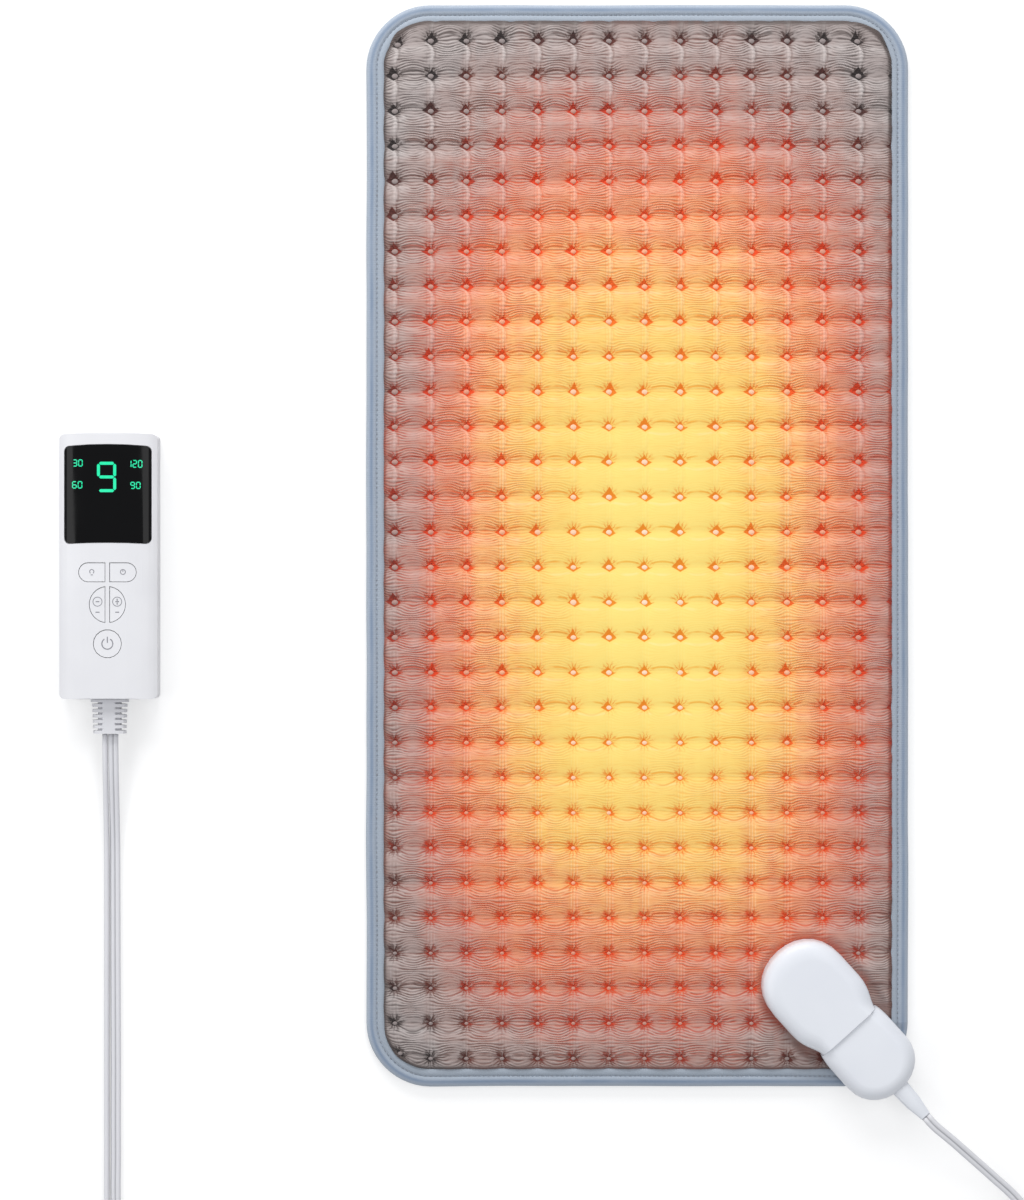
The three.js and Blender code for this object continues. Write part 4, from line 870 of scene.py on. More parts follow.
NODE_FINISHES: dict[str, Finish] = {
    "front_shell": HANDSET_ABS, "back_shell": HANDSET_ABS, "display_lens": LENS_ACRYLIC,
    "display_module": NYLON, "circuit_board": LAMINATE, "mains_capacitor": EPOXY, "triac": NYLON,
    "mains_fuse": FUSE_GLASS, "handset_relief": RELIEF_PVC, "socket_base": CONNECTOR_ABS,
    "socket_cover": CONNECTOR_ABS, "plug_upper_shell": CONNECTOR_ABS, "plug_lower_shell": CONNECTOR_ABS,
    "plug_relief": CONNECTOR_ABS, "backing_plate": CONNECTOR_ABS, "contact_block": NYLON,
    "plug_nose": NYLON, "heater_carrier": FELT, "heating_wire": WIRE_SILICONE, "coil_tie": TIE_RUBBER,
    "mains_plug": PLUG_PVC, "contact_pin": BRASS, "contact_sleeve": BRASS, "plug_blade": BRASS,
    "clamp_screw": STEEL, "case_screw": STEEL, "thermal_cutout": NYLON, "heat_key": KEY_ABS,
    "timer_key": KEY_ABS, "down_key": KEY_ABS, "up_key": KEY_ABS, "power_key": KEY_ABS,
    "heat_switch": NYLON, "timer_switch": NYLON, "down_switch": NYLON, "up_switch": NYLON,
    "power_switch": NYLON,
}


def add_object(shape: bmesh.types.BMesh, name: str) -> bpy.types.Object:
    """Turns a worked shape, which is used up, into an object at the origin."""
    mesh = bpy.data.meshes.new(name)
    shape.to_mesh(mesh)
    shape.free()
    piece = bpy.data.objects.new(name, mesh)
    bpy.context.scene.collection.objects.link(piece)
    return piece


def shade_faces(mesh: bpy.types.Mesh, smooth: bool) -> None:
    """Shades all faces of a mesh as smooth or as flat."""
    mesh.polygons.foreach_set("use_smooth", [smooth] * len(mesh.polygons))


def worked_out(piece: bpy.types.Object) -> bpy.types.Mesh:
    """Gives a new mesh of the object as its modifiers leave it."""
    return bpy.data.meshes.new_from_object(piece.evaluated_get(bpy.context.evaluated_depsgraph_get()))


def new_verts(made: dict[str, Any]) -> list[bmesh.types.BMVert]:
    """Gives the vertices among what an extrusion has made."""
    return [part for part in made["geom"] if isinstance(part, bmesh.types.BMVert)]


def rim_edges(shape: bmesh.types.BMesh) -> list[bmesh.types.BMEdge]:
    """Gives the open edges of a shape."""
    return [edge for edge in shape.edges if edge.is_boundary]


def make_piece(shape: bmesh.types.BMesh, name: str, finish: Finish) -> bpy.types.Object:
    """Turns a worked shape into a smooth object at the origin.

    Args:
        shape: The shape, which is used up.
        name: The piece's name.
        finish: What it is made of.

    Returns:
        The new object.
    """
    piece = add_object(shape, name)
    shade_faces(piece.data, True)
    piece.data.materials.append(finish.make())
    LOG.info("%s: %d faces", name, len(piece.data.polygons))
    return piece


def sweep(
    shape: bmesh.types.BMesh,
    section: list[tuple[float, float]],
    stations: list[Matrix],
    closed: bool = False,
) -> list[list[bmesh.types.BMVert]]:
    """Extrudes a ring along a row of frames and keeps how far along and around each point lies.

    Args:
        shape: The shape that gets the ring.
        section: The ring's points across and up.
        stations: The frames, whose X is across, Y is up and Z is along.
        closed: Whether the last ring joins the first.

    Returns:
        The rings' vertices.
    """
    along = shape.verts.layers.float.new("along")
    around = shape.verts.layers.float.new("around")
    made = bmesh.ops.create_circle(shape, segments=len(section), radius=1.0)
    ring = list(made["verts"])
    shape.edges.ensure_lookup_table()
    edges = list(shape.edges)
    for count, (vert, (x, y)) in enumerate(zip(ring, section)):
        vert[around] = count / (len(section) - 1)
        vert.co = stations[0] @ Vector((x, y, 0))
    rings = [ring]
    travelled = 0.0
    for before, after in zip(stations, stations[1:]):
        travelled += (after.translation - before.translation).length
        made = bmesh.ops.extrude_edge_only(shape, edges=edges)
        verts = new_verts(made)
        fresh = set(verts)
        grown = [part for part in made["geom"] if isinstance(part, bmesh.types.BMEdge)]
        edges = [edge for edge in grown if fresh.issuperset(edge.verts)]
        bmesh.ops.transform(shape, matrix=after @ before.inverted(), verts=verts)
        for vert in verts:
            vert[along] = travelled
        rings.append(verts)
    if closed:
        first = [edge for vert in rings[0] for edge in vert.link_edges if edge.is_boundary]
        bmesh.ops.bridge_loops(shape, edges=list(set(first)) + edges)
    else:
        bmesh.ops.holes_fill(shape, edges=rim_edges(shape))
    bmesh.ops.recalc_face_normals(shape, faces=shape.faces)
    return rings


def upright_frames(points: list[Vector]) -> list[Matrix]:
    """Gives frames along a way that keep their Y as near upright as they can.

    Args:
        points: Points on the way.

    Returns:
        One frame to a point, with X across, Y up and Z along.
    """
    frames = []
    for index, point in enumerate(points):
        ahead = points[min(index + 1, len(points) - 1)]
        behind = points[max(index - 1, 0)]
        along = (ahead - behind).normalized()
        across = along.cross(Vector((0, 0, 1))).normalized()
        over = across.cross(along)
        turn = Matrix((across, over, along)).transposed().to_4x4()
        frames.append(Matrix.Translation(point) @ turn)
    return frames


CURVE_STEPS = 16


def smooth_way(points: list[Vector], step: float) -> list[Vector]:
    """Draws a centripetal curve through points and spaces it evenly.

    Args:
        points: The points it passes through.
        step: The spacing wanted.

    Returns:
        Evenly spaced points.
    """
    rail = [points[0] * 2 - points[1], *points, points[-1] * 2 - points[-2]]
    fine = [points[0]]
    for a, b, c, d in zip(rail, rail[1:], rail[2:], rail[3:]):
        knots = [0.0]
        for start, end in ((a, b), (b, c), (c, d)):
            knots.append(knots[-1] + math.sqrt((end - start).length))
        for count in range(1, CURVE_STEPS + 1):
            t = knots[1] + (knots[2] - knots[1]) * count / CURVE_STEPS
            ab = a.lerp(b, (t - knots[0]) / (knots[1] - knots[0]))
            bc = b.lerp(c, (t - knots[1]) / (knots[2] - knots[1]))
            cd = c.lerp(d, (t - knots[2]) / (knots[3] - knots[2]))
            early = ab.lerp(bc, (t - knots[0]) / (knots[2] - knots[0]))
            late = bc.lerp(cd, (t - knots[1]) / (knots[3] - knots[1]))
            fine.append(early.lerp(late, (t - knots[1]) / (knots[2] - knots[1])))
    return even_way(fine, step)


def even_way(fine: list[Vector], step: float) -> list[Vector]:
    """Spaces points evenly along a fine row of points.

    Args:
        fine: The row.
        step: The spacing wanted.

    Returns:
        Evenly spaced points with both ends kept.
    """
    reach = [0.0]
    for before, after in zip(fine, fine[1:]):
        reach.append(reach[-1] + (after - before).length)
    count = max(2, round(reach[-1] / step))
    even, index = [], 0
    for number in range(count + 1):
        wanted = reach[-1] * number / count
        while index < len(fine) - 2 and reach[index + 1] < wanted:
            index += 1
        share = (wanted - reach[index]) / max(1e-9, reach[index + 1] - reach[index])
        even.append(fine[index].lerp(fine[index + 1], share))
    return even


def way_length(points: list[Vector]) -> float:
    """Gives the length of a row of points."""
    return sum((after - before).length for before, after in zip(points, points[1:]))


class FarEnd(Enum):
    """What a lead ends in."""

    PLUG = "plug"
    OBJECT = "object"


class Lay(Enum):
    """How a lead lies."""

    LOOSE = "loose"
    COILED = "coiled"


@dataclass(frozen=True)
class Lamp:
    """A soft lamp: where it hangs, its width and height, and its power in watts."""

    name: str
    place: tuple[float, float, float]
    size: tuple[float, float]
    power: float


@dataclass
class Stage:
    """The pale floor, the studio light and the camera straight above."""

    middle: tuple[float, float] = (-69.4 * MM, -30.1 * MM)
    tall: float = 663.6 * MM
    lens: float = 100.0
    sensor: float = 36.0
    focus_height: float = 8.0 * MM
    floor_half: float = 6.0
    floor_lift: float = 0.52
    sky_strength: float = 0.46
    lamps: tuple[Lamp, ...] = (
        Lamp("main", (-0.35, 1.75, 1.05), (1.6, 0.9), 30.0),
        Lamp("left", (-1.6, -0.05, 1.45), (1.8, 0.8), 9.0),
        Lamp("right", (0.6, -0.05, 1.6), (1.8, 0.6), 6.0),
    )

    def build(self) -> None:
        """Makes the camera, the floor, the world and the lamps."""
        self.build_camera()
        self.build_floor()
        self.build_light()

    def build_camera(self) -> None:
        """Looks straight down so that the picture's long side spans the wanted height."""
        data = bpy.data.cameras.new("camera")
        data.lens = self.lens
        data.sensor_width = self.sensor
        camera = bpy.data.objects.new("camera", data)
        rise = self.tall * self.lens / self.sensor + self.focus_height
        camera.location = (self.middle[0], self.middle[1], rise)
        bpy.context.scene.collection.objects.link(camera)
        bpy.context.scene.camera = camera

    def build_floor(self) -> None:
        """Lays a white floor that keeps the object's shadow."""
        shape = bmesh.new()
        bmesh.ops.create_grid(shape, x_segments=1, y_segments=1, size=self.floor_half)
        floor = add_object(shape, "floor")
        material = bpy.data.materials.new("paper_backdrop_white")
        kit = Painter(material)
        kit.tree.nodes.remove(kit.shader)
        path = kit.add("ShaderNodeLightPath").outputs
        rays = ("Is Camera Ray", "Is Glossy Ray", "Is Transmission Ray")
        seen = largest(*(Term(kit.tree, path[ray]) for ray in rays))
        paper = kit.add("ShaderNodeBsdfDiffuse", inputs={"Color": "#C8C8C8"})
        white = kit.add("ShaderNodeEmission", inputs={"Strength": seen * self.floor_lift})
        both = kit.add("ShaderNodeAddShader", inputs={0: paper.outputs[0], 1: white.outputs[0]})
        plug(kit.tree, kit.tree.nodes["Material Output"], "Surface", both.outputs[0])
        floor.data.materials.append(material)

    def build_light(self) -> None:
        """Hangs large soft lamps: a main one beyond the pad's far end and a strip at each side."""
        scene = bpy.context.scene
        scene.view_settings.view_transform = "Standard"
        world = bpy.data.worlds.new("studio")
        scene.world = world
        world.use_nodes = True
        sky = world.node_tree.nodes["Background"]
        sky.inputs["Color"].default_value = linear("#F4F6FA")
        sky.inputs["Strength"].default_value = self.sky_strength
        for lamp in self.lamps:
            self.hang(lamp)

    def hang(self, lamp: Lamp) -> None:
        """Hangs one lamp that faces the middle of the picture."""
        data = bpy.data.lights.new(lamp.name, "AREA")
        data.shape = "RECTANGLE"
        data.size, data.size_y = lamp.size
        data.energy = lamp.power
        hung = bpy.data.objects.new(lamp.name, data)
        hung.location = lamp.place
        aim = Vector((*self.middle, 0)) - Vector(lamp.place)
        hung.rotation_euler = aim.to_track_quat("-Z", "Y").to_euler()
        bpy.context.scene.collection.objects.link(hung)


@dataclass
class Leads:
    """The pad lead, and the mains lead with its coil."""

    pad_size: tuple[float, float] = (5.6 * MM, 3.0 * MM)
    mains_size: tuple[float, float] = (2.8 * MM, 4.8 * MM)
    step: float = 3.0 * MM
    coil_inner: float = 20.5
    coil_pitch: float = 3.9
    turns_in: int = 4
    turns_out: float = 3.75
    coil_low: float = 3.4
    coil_high: float = 9.0
    tail: float = 26.0
    tail_height: float = 7.5
    coil_gap: float = 0.3
    coil_steps: int = 48
    tail_steps: int = 10
    sides: int = 24
    # The groove's points: offset across, share of depth, and how strongly painted shade darkens them.
    groove: tuple[tuple[float, float, float], ...] = (
        (0.512 * MM, 0.0, 0.0), (0.224 * MM, 0.26, 0.7), (-0.224 * MM, 0.26, 0.7), (-0.512 * MM, 0.0, 0.0),
    )
    pad_way: tuple[tuple[float, float, float], ...] = (
        (-289.5, -104.1, 11), (-289.5, -112, 10.8), (-289.5, -128, 8.8), (-289.5, -146, 5.4),
        (-289.5, -164, 2.7), (-289.5, -184, 1.8), (-289.4, -230, 1.7), (-289.2, -285, 1.7),
        (-289.2, -335, 1.7), (-288.6, -372, 1.7), (-283, -396, 1.7), (-268, -413, 1.7),
        (-245, -421, 1.7), (-190, -424, 1.7), (-110, -422, 1.7), (-30, -423, 1.7),
        (60, -424, 1.7), (140, -420, 1.7), (186, -414.5, 1.7), (204, -409, 1.7),
        (215, -398, 1.8), (219.4, -383.5, 2.3), (216.6, -370.5, 3.4), (208.8, -360.3, 4.9),
        (197, -349.4, 7.3), (184, -337.7, 10.2), (172.6, -327.6, 12.8), (163.4, -319.8, 14.3),
        (158.7, -314.6, 14.6),
    )
    mains_way: tuple[tuple[float, float, float], ...] = (
        (-294.1, -104.1, 11), (-294.1, -112, 10.8), (-294.1, -128, 9), (-294.1, -146, 6),
        (-294.1, -164, 3.7), (-294.1, -184, 2.7), (-294.1, -230, 2.6), (-294.1, -285, 2.6),
        (-294.1, -335, 2.6), (-294.1, -370, 3), (-294.1, -388, 3.4), (-294.1, -396, 3.4),
    )

    def build(self) -> None:
        """Makes both leads."""
        pad = smooth_way([Vector(p) * MM for p in self.pad_way], self.step)
        piece = self.jacket("pad_lead_jacket", pad, self.pad_size)
        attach(piece, "controller")
        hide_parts("pad_lead")
        way_length(pad)
        mains = smooth_way([Vector(p) * MM for p in self.mains_way], self.step)
        mains += even_way([Vector(p) * MM for p in self.coil_way()], self.step)
        piece = self.jacket("mains_lead_jacket", mains, self.mains_size)
        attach(piece, "controller")
        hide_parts("mains_lead", "mains_coil")
        way_length(mains)

    def coil_way(self) -> list[tuple[float, float, float]]:
        """Gives the coil's way in millimetres: inwards, up to a second layer, and out to the plug."""
        start = self.mains_way[-1]
        outer = self.coil_inner + self.coil_pitch * self.turns_in
        middle = (start[0] - outer, start[1] - self.coil_gap - self.mains_size[1] / MM)
        way = [(start[0], start[1] - self.coil_gap, self.coil_low)]

        def add(turns: float, radius: float, z: float) -> None:
            """Adds the point at a number of turns."""
            angle = -turns * TURN
            way.append((middle[0] + radius * math.cos(angle), middle[1] + radius * math.sin(angle), z))

        steps = self.coil_steps
        for count in range(self.turns_in * steps + 1):
            add(count / steps, outer - self.coil_pitch * count / steps, self.coil_low)
        climb = steps // 2
        for count in range(1, climb):
            share = count / climb
            inward = self.coil_pitch * min(share, 1 - share) / 2
            rise = (self.coil_high - self.coil_low) * fade(share, 0.2, 0.8)
            add(self.turns_in + count / steps, self.coil_inner - inward, self.coil_low + rise)
        for count in range(int(self.turns_out * steps) + 1):
            turned = self.turns_in + 0.5 + count / steps
            add(turned, self.coil_inner + self.coil_pitch * count / steps, self.coil_high)
        last = way[-1]
        for count in range(1, self.tail_steps + 1):
            share = count / self.tail_steps
            drop = (self.tail_height - self.coil_high) * fade(share, 0.3, 0.8)
            way.append((last[0] - self.tail * share, last[1], self.coil_high + drop))
        return way

    def jacket(self, name: str, way: list[Vector], size: tuple[float, float]) -> bpy.types.Object:
        """Extrudes one jacket with a groove along each broad face.

        Args:
            name: The piece's name.
            way: Its centre line.
            size: Its width and height.

        Returns:
            The lead.
        """
        wide, tall = size
        bulge = min(wide, tall) / 2
        section = []
        for count in range(self.sides):
            angle = TURN * (count + 0.5) / self.sides
            x, y = bulge * math.cos(angle), bulge * math.sin(angle)
            x += math.copysign(max(0.0, wide / 2 - bulge), x)
            y += math.copysign(max(0.0, tall / 2 - bulge), y)
            section.append((x, y))
        broad = 1 if wide > tall else 0
        grooved = []
        for index, point in enumerate(section):
            following = section[(index + 1) % self.sides]
            grooved.append((point, 0.0))
            if point[1 - broad] * following[1 - broad] < 0:
                run = point[1 - broad] - following[1 - broad]
                for offset, depth, shade_mark in self.groove:
                    spot = [(point[0] + following[0]) / 2, (point[1] + following[1]) / 2]
                    spot[1 - broad] += math.copysign(offset, run * offset)
                    spot[broad] *= 1 - depth
                    grooved.append((tuple(spot), shade_mark))
        shape = bmesh.new()
        shape.verts.layers.float.new("groove")
        rings = sweep(shape, [point for point, _ in grooved], upright_frames(way))
        layer = shape.verts.layers.float["groove"]
        around = shape.verts.layers.float["around"]
        for ring in rings:
            for vert in ring:
                vert[layer] = grooved[round(vert[around] * (len(grooved) - 1))][1]
                vert[around] *= 2 * (wide + tall)
        return make_piece(shape, name, LEAD_PVC)


@dataclass(frozen=True)
class Ripple:
    """Smooth unevenness of cloth.

    Attributes:
        waves: How many waves it has to a metre, across and along.
        layer: Which layer of the noise it reads.
        strength: Its greatest value.
    """

    waves: tuple[float, float]
    layer: float
    strength: float

    def at(self, x: float, y: float) -> float:
        """Gives the unevenness at a place."""
        return self.strength * noise.noise((x * self.waves[0], y * self.waves[1], self.layer))


# The folded tape's section in millimetres: its lower selvedge, then its upper side from the outer
# fold over the sewn groove, round the inner selvedge, back under it and down.
FOLD_FOOT = ((0.0, 0.9), (0.4, 0.0))
FOLD_OUTER = ((-0.6, 0.15), (-1.7, 0.1), (-2.5, -0.25), (-2.95, -0.95), (-3.4, -0.35), (-4.2, 0.15))
FOLD_INNER = ((1.6, 0.25), (0.3, 0.1), (0.0, -0.4), (0.5, -1.1))
FOLD_UNDER = ((-0.5, -1.3),)
FOLD_INSIDE = ((-0.5, 1.4),)

CLOTH_SETTINGS: dict[str, Any] = {
    "quality": 4, "mass": 0.25, "tension_stiffness": 12, "compression_stiffness": 12, "shear_stiffness": 4,
    "bending_stiffness": 0.15, "air_damping": 1.5, "shrink_min": -0.075, "use_pressure": True,
    "uniform_pressure_force": 2.6, "vertex_group_mass": "sewn",
}


@dataclass
class Pad:
    """The quilted cover, its sewn points, the back cover, the bound edge and its stitches."""

    width: float = 301.0 * MM
    length: float = 600.0 * MM
    corner: float = 36.0 * MM
    binding_width: float = 10.2 * MM
    binding_height: float = 6.0 * MM
    tuck: float = 8.8 * MM
    tuck_height: float = 4.6 * MM
    pitch: tuple[float, float] = PLUSH.pitch
    shift: tuple[float, float] = PLUSH.shift
    cells: int = 8
    points_low: tuple[int, int] = (7, 15)
    points_high: tuple[int, int] = (7, 14)
    cells_low: tuple[int, int] = (3, 3)
    cells_high: tuple[int, int] = (0, 5)
    first_swell: float = 1.5 * MM
    swell_ripple: Ripple = Ripple((90.0, 140.0), 2.0, 0.25)
    on_point: float = 0.01
    tuft_height: float = 7.1 * MM
    pillow_height: float = 10.5 * MM
    underside: float = 4.25 * MM
    roll_height: float = 0.7 * MM
    seam_depth: float = 0.7 * MM
    knob: tuple[float, float, float] = (2.0 * MM, 1.55 * MM, 0.85 * MM)
    knob_fullness: float = 1.75
    knob_place: tuple[float, float, float] = (-0.15 * MM, -0.4 * MM, 0.45 * MM)
    knob_steps: tuple[int, int] = (16, 8)
    knob_ripple: Ripple = Ripple((300.0, 300.0), 5.0, 1.0)
    knob_lift: float = 0.15 * MM
    knob_stretch: float = 0.12
    knob_low: float = 0.7
    seat_height: float = 7.1 * MM
    seat_origin: tuple[float, float] = (116.1 * MM, -267.5 * MM)
    seat_turn: float = math.radians(-47.9)
    seat_reach: tuple[float, float] = (-32 * MM, 26 * MM)
    seat_radius: float = 25.5 * MM
    seat_clear: float = 1.0 * MM
    seat_ease: Span = (-1 * MM, 9 * MM)
    # Painted shade round the connector's seat, at the pad's edge and in low places, most above a row.
    seat_shade: Span = (3.0 * MM, 0.0, 0.0, 0.45)
    edge_shade: Span = (12.6 * MM, 11.0 * MM, 0.0, 0.85)
    low_shade: Span = (9.6 * MM, 7.3 * MM)
    low_side: Span = (-3 * MM, 2 * MM, 0.18, 0.6)
    roll_edge: Span = (14 * MM, 18 * MM)
    model_scale: float = 100.0
    model_frames: int = 16
    drift: float = 1.6 * MM
    tall_share: float = 0.97
    spare_height: float = 0.4 * MM
    back_steps: tuple[int, int] = (46, 96)
    back_lap: float = 1.4 * MM
    back_ripple: Ripple = Ripple((60.0, 60.0), 1.0, 0.15 * MM)
    back_edge: float = 1.1 * MM
    back_thick: float = 0.5 * MM
    tape_step: float = 4.0 * MM
    tape_sway: Ripple = Ripple((22.0, 22.0), 3.0, 0.35 * MM)
    tape_lift: Ripple = Ripple((35.0, 35.0), 8.0, 0.15 * MM)
    tape_foot: float = 0.4 * MM
    fold_steps: int = 12
    stitch_step: float = 2.7 * MM
    stitch_inset: float = 3.3 * MM
    stitch_sink: float = 0.35 * MM
    stitch_tilt: Ripple = Ripple((0.7, 0.7), 4.0, 0.12)
    stitch_size: tuple[float, float, float] = (0.3 * MM, 0.95 * MM, 0.3 * MM)

    def build(self) -> None:
        """Makes the pad's soft pieces."""
        cover = self.build_cover()
        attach(cover, "pad")
        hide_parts("top_cover", "wadding")
        for piece, node, slot in (
            (self.build_binding(), "edge_binding", "binding_tape"),
            (self.build_back(), "back_cover", "back_plush"),
            (self.build_stitches(), None, "binding_tape"),
        ):
            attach(piece, "pad")
            if node:
                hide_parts(node)

    def outline(self, inset: float, spacing: float) -> list[tuple[Vector, Vector]]:
        """Walks round the pad's edge anticlockwise from the middle of its right side.

        Args:
            inset: How far in from the edge.
            spacing: About how far apart the points are.

        Returns:
            Points, each with the way out of the pad there.
        """
        points = []
        radius = self.corner - inset
        half_x, half_y = self.width / 2 - self.corner, self.length / 2 - self.corner
        sides = (
            (Vector((half_x + radius, -half_y, 0)), Vector((0, 1, 0)), 2 * half_y),
            (Vector((half_x, half_y + radius, 0)), Vector((-1, 0, 0)), 2 * half_x),
            (Vector((-half_x - radius, half_y, 0)), Vector((0, -1, 0)), 2 * half_y),
            (Vector((-half_x, -half_y - radius, 0)), Vector((1, 0, 0)), 2 * half_x),
        )
        for start, heading, run in sides:
            out = Vector((heading.y, -heading.x, 0))
            steps = max(1, round(run / spacing))
            for count in range(steps):
                points.append((start + heading * run * count / steps, out))
            centre = start + heading * run - out * radius
            turns = max(4, round(radius * math.pi / 2 / spacing))
            for count in range(turns):
                turned = out.copy()
                turned.rotate(Matrix.Rotation(math.pi / 2 * count / turns, 3, "Z"))
                points.append((centre + turned * radius, turned))
        return points

    def inset(self, x: float, y: float) -> float:
        """Gives how far a spot lies in from the pad's edge."""
        u = abs(x) - self.width / 2 + self.corner
        v = abs(y) - self.length / 2 + self.corner
        return self.corner - math.hypot(max(u, 0.0), max(v, 0.0)) - min(max(u, v), 0.0)

    def seat_distance(self, x: float, y: float) -> float:
        """Gives how far a spot lies outside the connector's seat, below 0 under it."""
        along = Vector((math.cos(self.seat_turn), math.sin(self.seat_turn)))
        offset = Vector((x, y)) - Vector(self.seat_origin)
        reach = min(self.seat_reach[1], max(self.seat_reach[0], offset.dot(along)))
        return (offset - along * reach).length - self.seat_radius

    def build_cover(self) -> bpy.types.Object:
        """Sews the cover down at its points, lets it swell by cloth simulation and closes it below."""
        first, size, counts = [], [], []
        for axis, pitch in enumerate(self.pitch):
            step = pitch / self.cells
            first.append(self.shift[axis] - self.points_low[axis] * pitch - self.cells_low[axis] * step)
            whole = (self.points_low[axis] + self.points_high[axis]) * self.cells
            counts.append(whole + self.cells_low[axis] + self.cells_high[axis])
            size.append(step * counts[axis])
        shape = bmesh.new()
        bmesh.ops.create_grid(shape, x_segments=counts[0], y_segments=counts[1], size=0.5)
        bmesh.ops.scale(shape, vec=(*size, 1), verts=shape.verts)
        middle = Vector((first[0] + size[0] / 2, first[1] + size[1] / 2, 0))
        bmesh.ops.translate(shape, vec=middle, verts=shape.verts)
        cloth = shape.verts.layers.float_vector.new("cloth")
        low, high = Vector(first), Vector((first[0] + size[0], first[1] + size[1]))
        radius = self.corner - self.tuck
        held, edge = [], []
        shape.verts.index_update()
        for vert in shape.verts:
            x, y = vert.co.x, vert.co.y
            vert[cloth] = (x, y, 0)
            u = (x - self.shift[0]) / self.pitch[0]
            v = (y - self.shift[1]) / self.pitch[1]
            sewn = abs(u - round(u)) < self.on_point and abs(v - round(v)) < self.on_point
            vert.co.x, vert.co.y = self.round_corner(x, y, low, high, radius)
            dip = (0.5 + 0.5 * math.cos(TURN * u)) * (0.5 + 0.5 * math.cos(TURN * v))
            uneven = 1 + self.swell_ripple.at(x, y)
            vert.co.z = self.tuft_height + self.first_swell * (1 - dip ** 0.5) * uneven
            if vert.is_boundary:
                vert.co.z = self.tuck_height
                edge.append(vert.index)
            elif sewn:
                held.append(vert.index)
        piece = add_object(shape, "quilted_cover")
        self.swell(piece, held + edge)
        knots = [piece.data.vertices[index].co.copy() for index in held]
        flats = [Vector(piece.data.attributes["cloth"].data[index].vector) for index in held]
        self.refine(piece)
        beads = self.build_beads(knots, flats)
        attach(beads, "pad")
        piece.data.materials.append(PLUSH.make())
        LOG.info("quilted_cover: %d faces", len(piece.data.polygons))
        return piece

    def round_corner(
        self, x: float, y: float, low: Vector, high: Vector, radius: float
    ) -> tuple[float, float]:
        """Draws the cloth's square corners in to round ones.

        Args:
            x: Place across.
            y: Place along.
            low: The cloth's low corner.
            high: The cloth's high corner.
            radius: The round corner's radius.

        Returns:
            The new place across and along.
        """
        centre_x = min(high.x - radius, max(low.x + radius, x))
        centre_y = min(high.y - radius, max(low.y + radius, y))
        u, v = (x - centre_x) / radius, (y - centre_y) / radius
        u, v = u * math.sqrt(max(0.0, 1 - v * v / 2)), v * math.sqrt(max(0.0, 1 - u * u / 2))
        return centre_x + u * radius, centre_y + v * radius

    def swell(self, piece: bpy.types.Object, held: list[int]) -> None:
        """Lets the cover swell between its sewn points, worked at a larger scale and put back.

        Args:
            piece: The cover, still one flat sheet.
            held: Vertices that are sewn down.
        """
        mesh = piece.data
        rest = [vert.co.copy() for vert in mesh.vertices]
        mesh.transform(Matrix.Scale(self.model_scale, 4))
        group = piece.vertex_groups.new(name="sewn")
        group.add(held, 1.0, "REPLACE")
        modifier = piece.modifiers.new("swell", "CLOTH")
        for name, value in CLOTH_SETTINGS.items():
            setattr(modifier.settings, name, value)
        modifier.settings.effector_weights.gravity = 0.0
        modifier.collision_settings.use_collision = False
        modifier.point_cache.frame_start, modifier.point_cache.frame_end = 1, self.model_frames
        scene = bpy.context.scene
        for number in range(1, self.model_frames + 1):
            scene.frame_set(number)
        settled = worked_out(piece)
        places = [vert.co / self.model_scale for vert in settled.vertices]
        piece.modifiers.remove(modifier)
        piece.vertex_groups.remove(group)
        bpy.data.meshes.remove(settled)
        scene.frame_set(1)
        rises = sorted(place.z - self.tuft_height for place in places)
        tallest = rises[int(len(rises) * self.tall_share)]
        LOG.info("cover rises %.2f mm, middle %.2f mm", tallest / MM, rises[len(rises) // 2] / MM)
        share = (self.pillow_height - self.tuft_height) / tallest
        for vert, start, place in zip(mesh.vertices, rest, places):
            move = place - start
            move.x = max(-self.drift, min(self.drift, move.x))
            move.y = max(-self.drift, min(self.drift, move.y))
            rise = place.z - self.tuft_height
            vert.co = start + move
            vert.co.z = self.tuft_height + (rise * share if rise > 0 else rise)
            vert.co.z = max(self.tuck_height, min(self.pillow_height + self.spare_height, vert.co.z))

    def refine(self, piece: bpy.types.Object) -> None:
        """Divides the cover once, rolls its pillows, presses it flat under the connector and closes it.

        Args:
            piece: The swollen cover.
        """
        fine = piece.modifiers.new("fine", "SUBSURF")
        fine.levels = fine.render_levels = 1
        made = worked_out(piece)
        piece.modifiers.remove(fine)
        old, piece.data = piece.data, made
        bpy.data.meshes.remove(old)
        made.name = "quilted_cover"
        shape = bmesh.new()
        shape.from_mesh(made)
        painted_shade = shape.verts.layers.float.new("painted_shade")
        cloth = shape.verts.layers.float_vector["cloth"]
        for vert in shape.verts:
            seat, inset = self.seat_distance(vert.co.x, vert.co.y), self.inset(vert.co.x, vert.co.y)
            limit = fade(seat, *self.seat_ease, self.seat_height, self.pillow_height + MM)
            column = (vert[cloth].x - self.shift[0]) / self.pitch[0]
            row = (vert[cloth].y - self.shift[1]) / self.pitch[1]
            above = (row - round(row)) * self.pitch[1]
            side = (column - round(column)) * self.pitch[0]
            under = (math.ceil(row) - row) * self.pitch[1]
            roll, seam = PLUSH.roll.shares(side, under, vert[cloth].y)
            rise = (self.roll_height * roll - self.seam_depth * seam) * fade(inset, *self.roll_edge)
            vert.co.z = min(vert.co.z + rise, limit)
